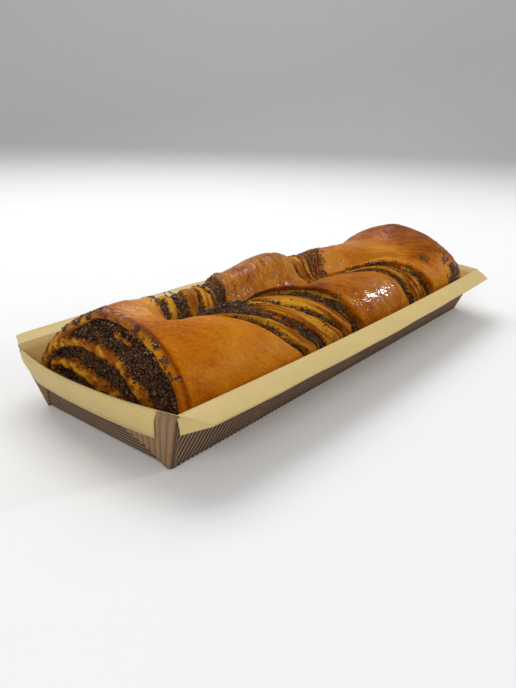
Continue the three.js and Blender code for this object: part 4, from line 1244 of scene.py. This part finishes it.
class StageOperator(bpy.types.Operator):
    """Set the pale floor, the soft lights and the camera at the photograph's angle"""

    bl_idname = "poppyroll.stage"
    bl_label = "Stage"

    def execute(self, context):
        """The floor, then the camera, then the lights."""
        scene = context.scene
        stage = scene.stage_settings
        self.floor(stage)
        self.camera(scene, stage)
        self.lights(scene, stage)
        return {"FINISHED"}

    def floor(self, stage):
        """A pale table that bends up behind the object: flat, then a quarter circle, then upright."""
        away = np.array([math.cos(stage.camera_yaw), math.sin(stage.camera_yaw)])
        beside = np.array([-away[1], away[0]])
        bend, flat = 0.6, stage.backdrop
        turn = np.linspace(0, math.pi / 2, 24)
        forward = np.concatenate([[-2.5], flat + bend * np.sin(turn), [flat + bend]])
        height = np.concatenate([[0], bend * (1 - np.cos(turn)), [3.0]]) - 0.0003
        across = np.linspace(-4, 4, 9)
        points = [
            (*(away * f + beside * side), z) for f, z in zip(forward, height) for side in across
        ]
        mesh = bpy.data.meshes.new("pale_table")
        faces = [tuple(face[::-1]) for face in grid_faces(len(forward), len(across), False)]
        mesh.from_pydata(points, [], faces)
        for polygon in mesh.polygons:
            polygon.use_smooth = True
        wire = Wiring("pale_table")
        tooth = wire.noise(0.05, 2)
        base = tuple(stage.floor_colour)
        wire.shade("Base Color", wire.mix(tooth, (*base, 1), (*(0.98 * c for c in base), 1)))
        wire.shade("Roughness", 0.9)
        mesh.materials.append(wire.material)
        floor = bpy.data.objects.new("pale_table", mesh)
        bpy.context.scene.collection.objects.link(floor)

    def camera(self, scene, stage):
        """A camera: its axes from yaw, pitch and roll, its lens from the focal length in pixels."""
        yaw, pitch, roll = stage.camera_yaw, stage.camera_pitch, stage.camera_roll
        forward = Vector((math.cos(yaw) * math.cos(pitch), math.sin(yaw) * math.cos(pitch), -math.sin(pitch)))
        level = Vector((math.sin(yaw), -math.cos(yaw), 0))
        up = level.cross(forward)
        right = math.cos(roll) * level + math.sin(roll) * up
        above = -math.sin(roll) * level + math.cos(roll) * up
        data = bpy.data.cameras.new("camera")
        data.sensor_width = 36
        data.lens = stage.focal_pixels * data.sensor_width / PICTURE_HEIGHT
        data.clip_start = 0.01
        camera = bpy.data.objects.new("camera", data)
        turned = Matrix((right, above, -forward)).transposed().to_4x4()
        camera.matrix_world = Matrix.Translation(stage.camera_place) @ turned
        scene.collection.objects.link(camera)
        scene.camera = camera

    def lights(self, scene, stage):
        """Dim white light from all round and three lights facing the object.

        A large one stands above and behind, a softer one by the camera, and a small low one makes the glints.
        """
        world = bpy.data.worlds.new("soft_sky")
        world.use_nodes = True
        world.node_tree.nodes["Background"].inputs["Color"].default_value = (1, 1, 1, 1)
        world.node_tree.nodes["Background"].inputs["Strength"].default_value = stage.sky
        scene.world = world
        self.soft_light(scene, "key_light", (0.25, 0.55, 0.95), (1.1, 0.7), stage.key)
        self.soft_light(scene, "fill_light", (-1.0, -0.5, 0.7), (0.7, 0.7), stage.fill)
        self.soft_light(scene, "glint_light", (1.0, -0.7, 0.36), (0.1, 0.15), stage.glint)
        scene.view_settings.view_transform = "Standard"

    def soft_light(self, scene, name, place, size, power):
        """A rectangle of light at that place, facing the object."""
        data = bpy.data.lights.new(name, "AREA")
        data.shape = "RECTANGLE"
        data.size, data.size_y = size
        data.energy = power
        light = bpy.data.objects.new(name, data)
        light.location = place
        light.rotation_euler = (Vector((0, 0, 0.03)) - light.location).to_track_quat("-Z", "Y").to_euler()
        scene.collection.objects.link(light)


class RollPanel(bpy.types.Panel):
    """Sizes, looks and buttons for the poppy seed roll"""

    bl_idname = "POPPYROLL_PT_main"
    bl_label = "Poppy seed roll"
    bl_space_type = "VIEW_3D"
    bl_region_type = "UI"
    bl_category = "Poppy roll"

    def draw(self, context):
        """A button for each operator, then a box for each group of settings."""
        for operator in OPERATORS:
            self.layout.operator(operator.bl_idname)
        for name, group in GROUPS.items():
            box = self.layout.box()
            box.label(text=name.replace("_", " ").capitalize())
            for setting in group.__annotations__:
                box.prop(getattr(context.scene, name), setting)


GROUPS = {
    "roll_sizes": RollSizes,
    "roll_looks": RollLooks,
    "filling_sizes": FillingSizes,
    "tray_sizes": TraySizes,
    "tray_looks": TrayLooks,
    "stage_settings": StageSettings,
}
OPERATORS = (DoughOperator, FillingOperator, TrayOperator, StageOperator)


def register():
    """Makes the settings, operators and panel known to Blender."""
    for kind in (*GROUPS.values(), *OPERATORS, RollPanel):
        bpy.utils.register_class(kind)
    for name, group in GROUPS.items():
        setattr(bpy.types.Scene, name, PointerProperty(type=group))


def unregister():
    """Takes away what register added."""
    for name in GROUPS:
        delattr(bpy.types.Scene, name)
    for kind in (RollPanel, *reversed(OPERATORS), *reversed(GROUPS.values())):
        bpy.utils.unregister_class(kind)


def main():
    """Makes every piece and the stage."""
    register()
    for operator in OPERATORS:
        group, name = operator.bl_idname.split(".")
        getattr(getattr(bpy.ops, group), name)()


if __name__ == "__main__":
    main()
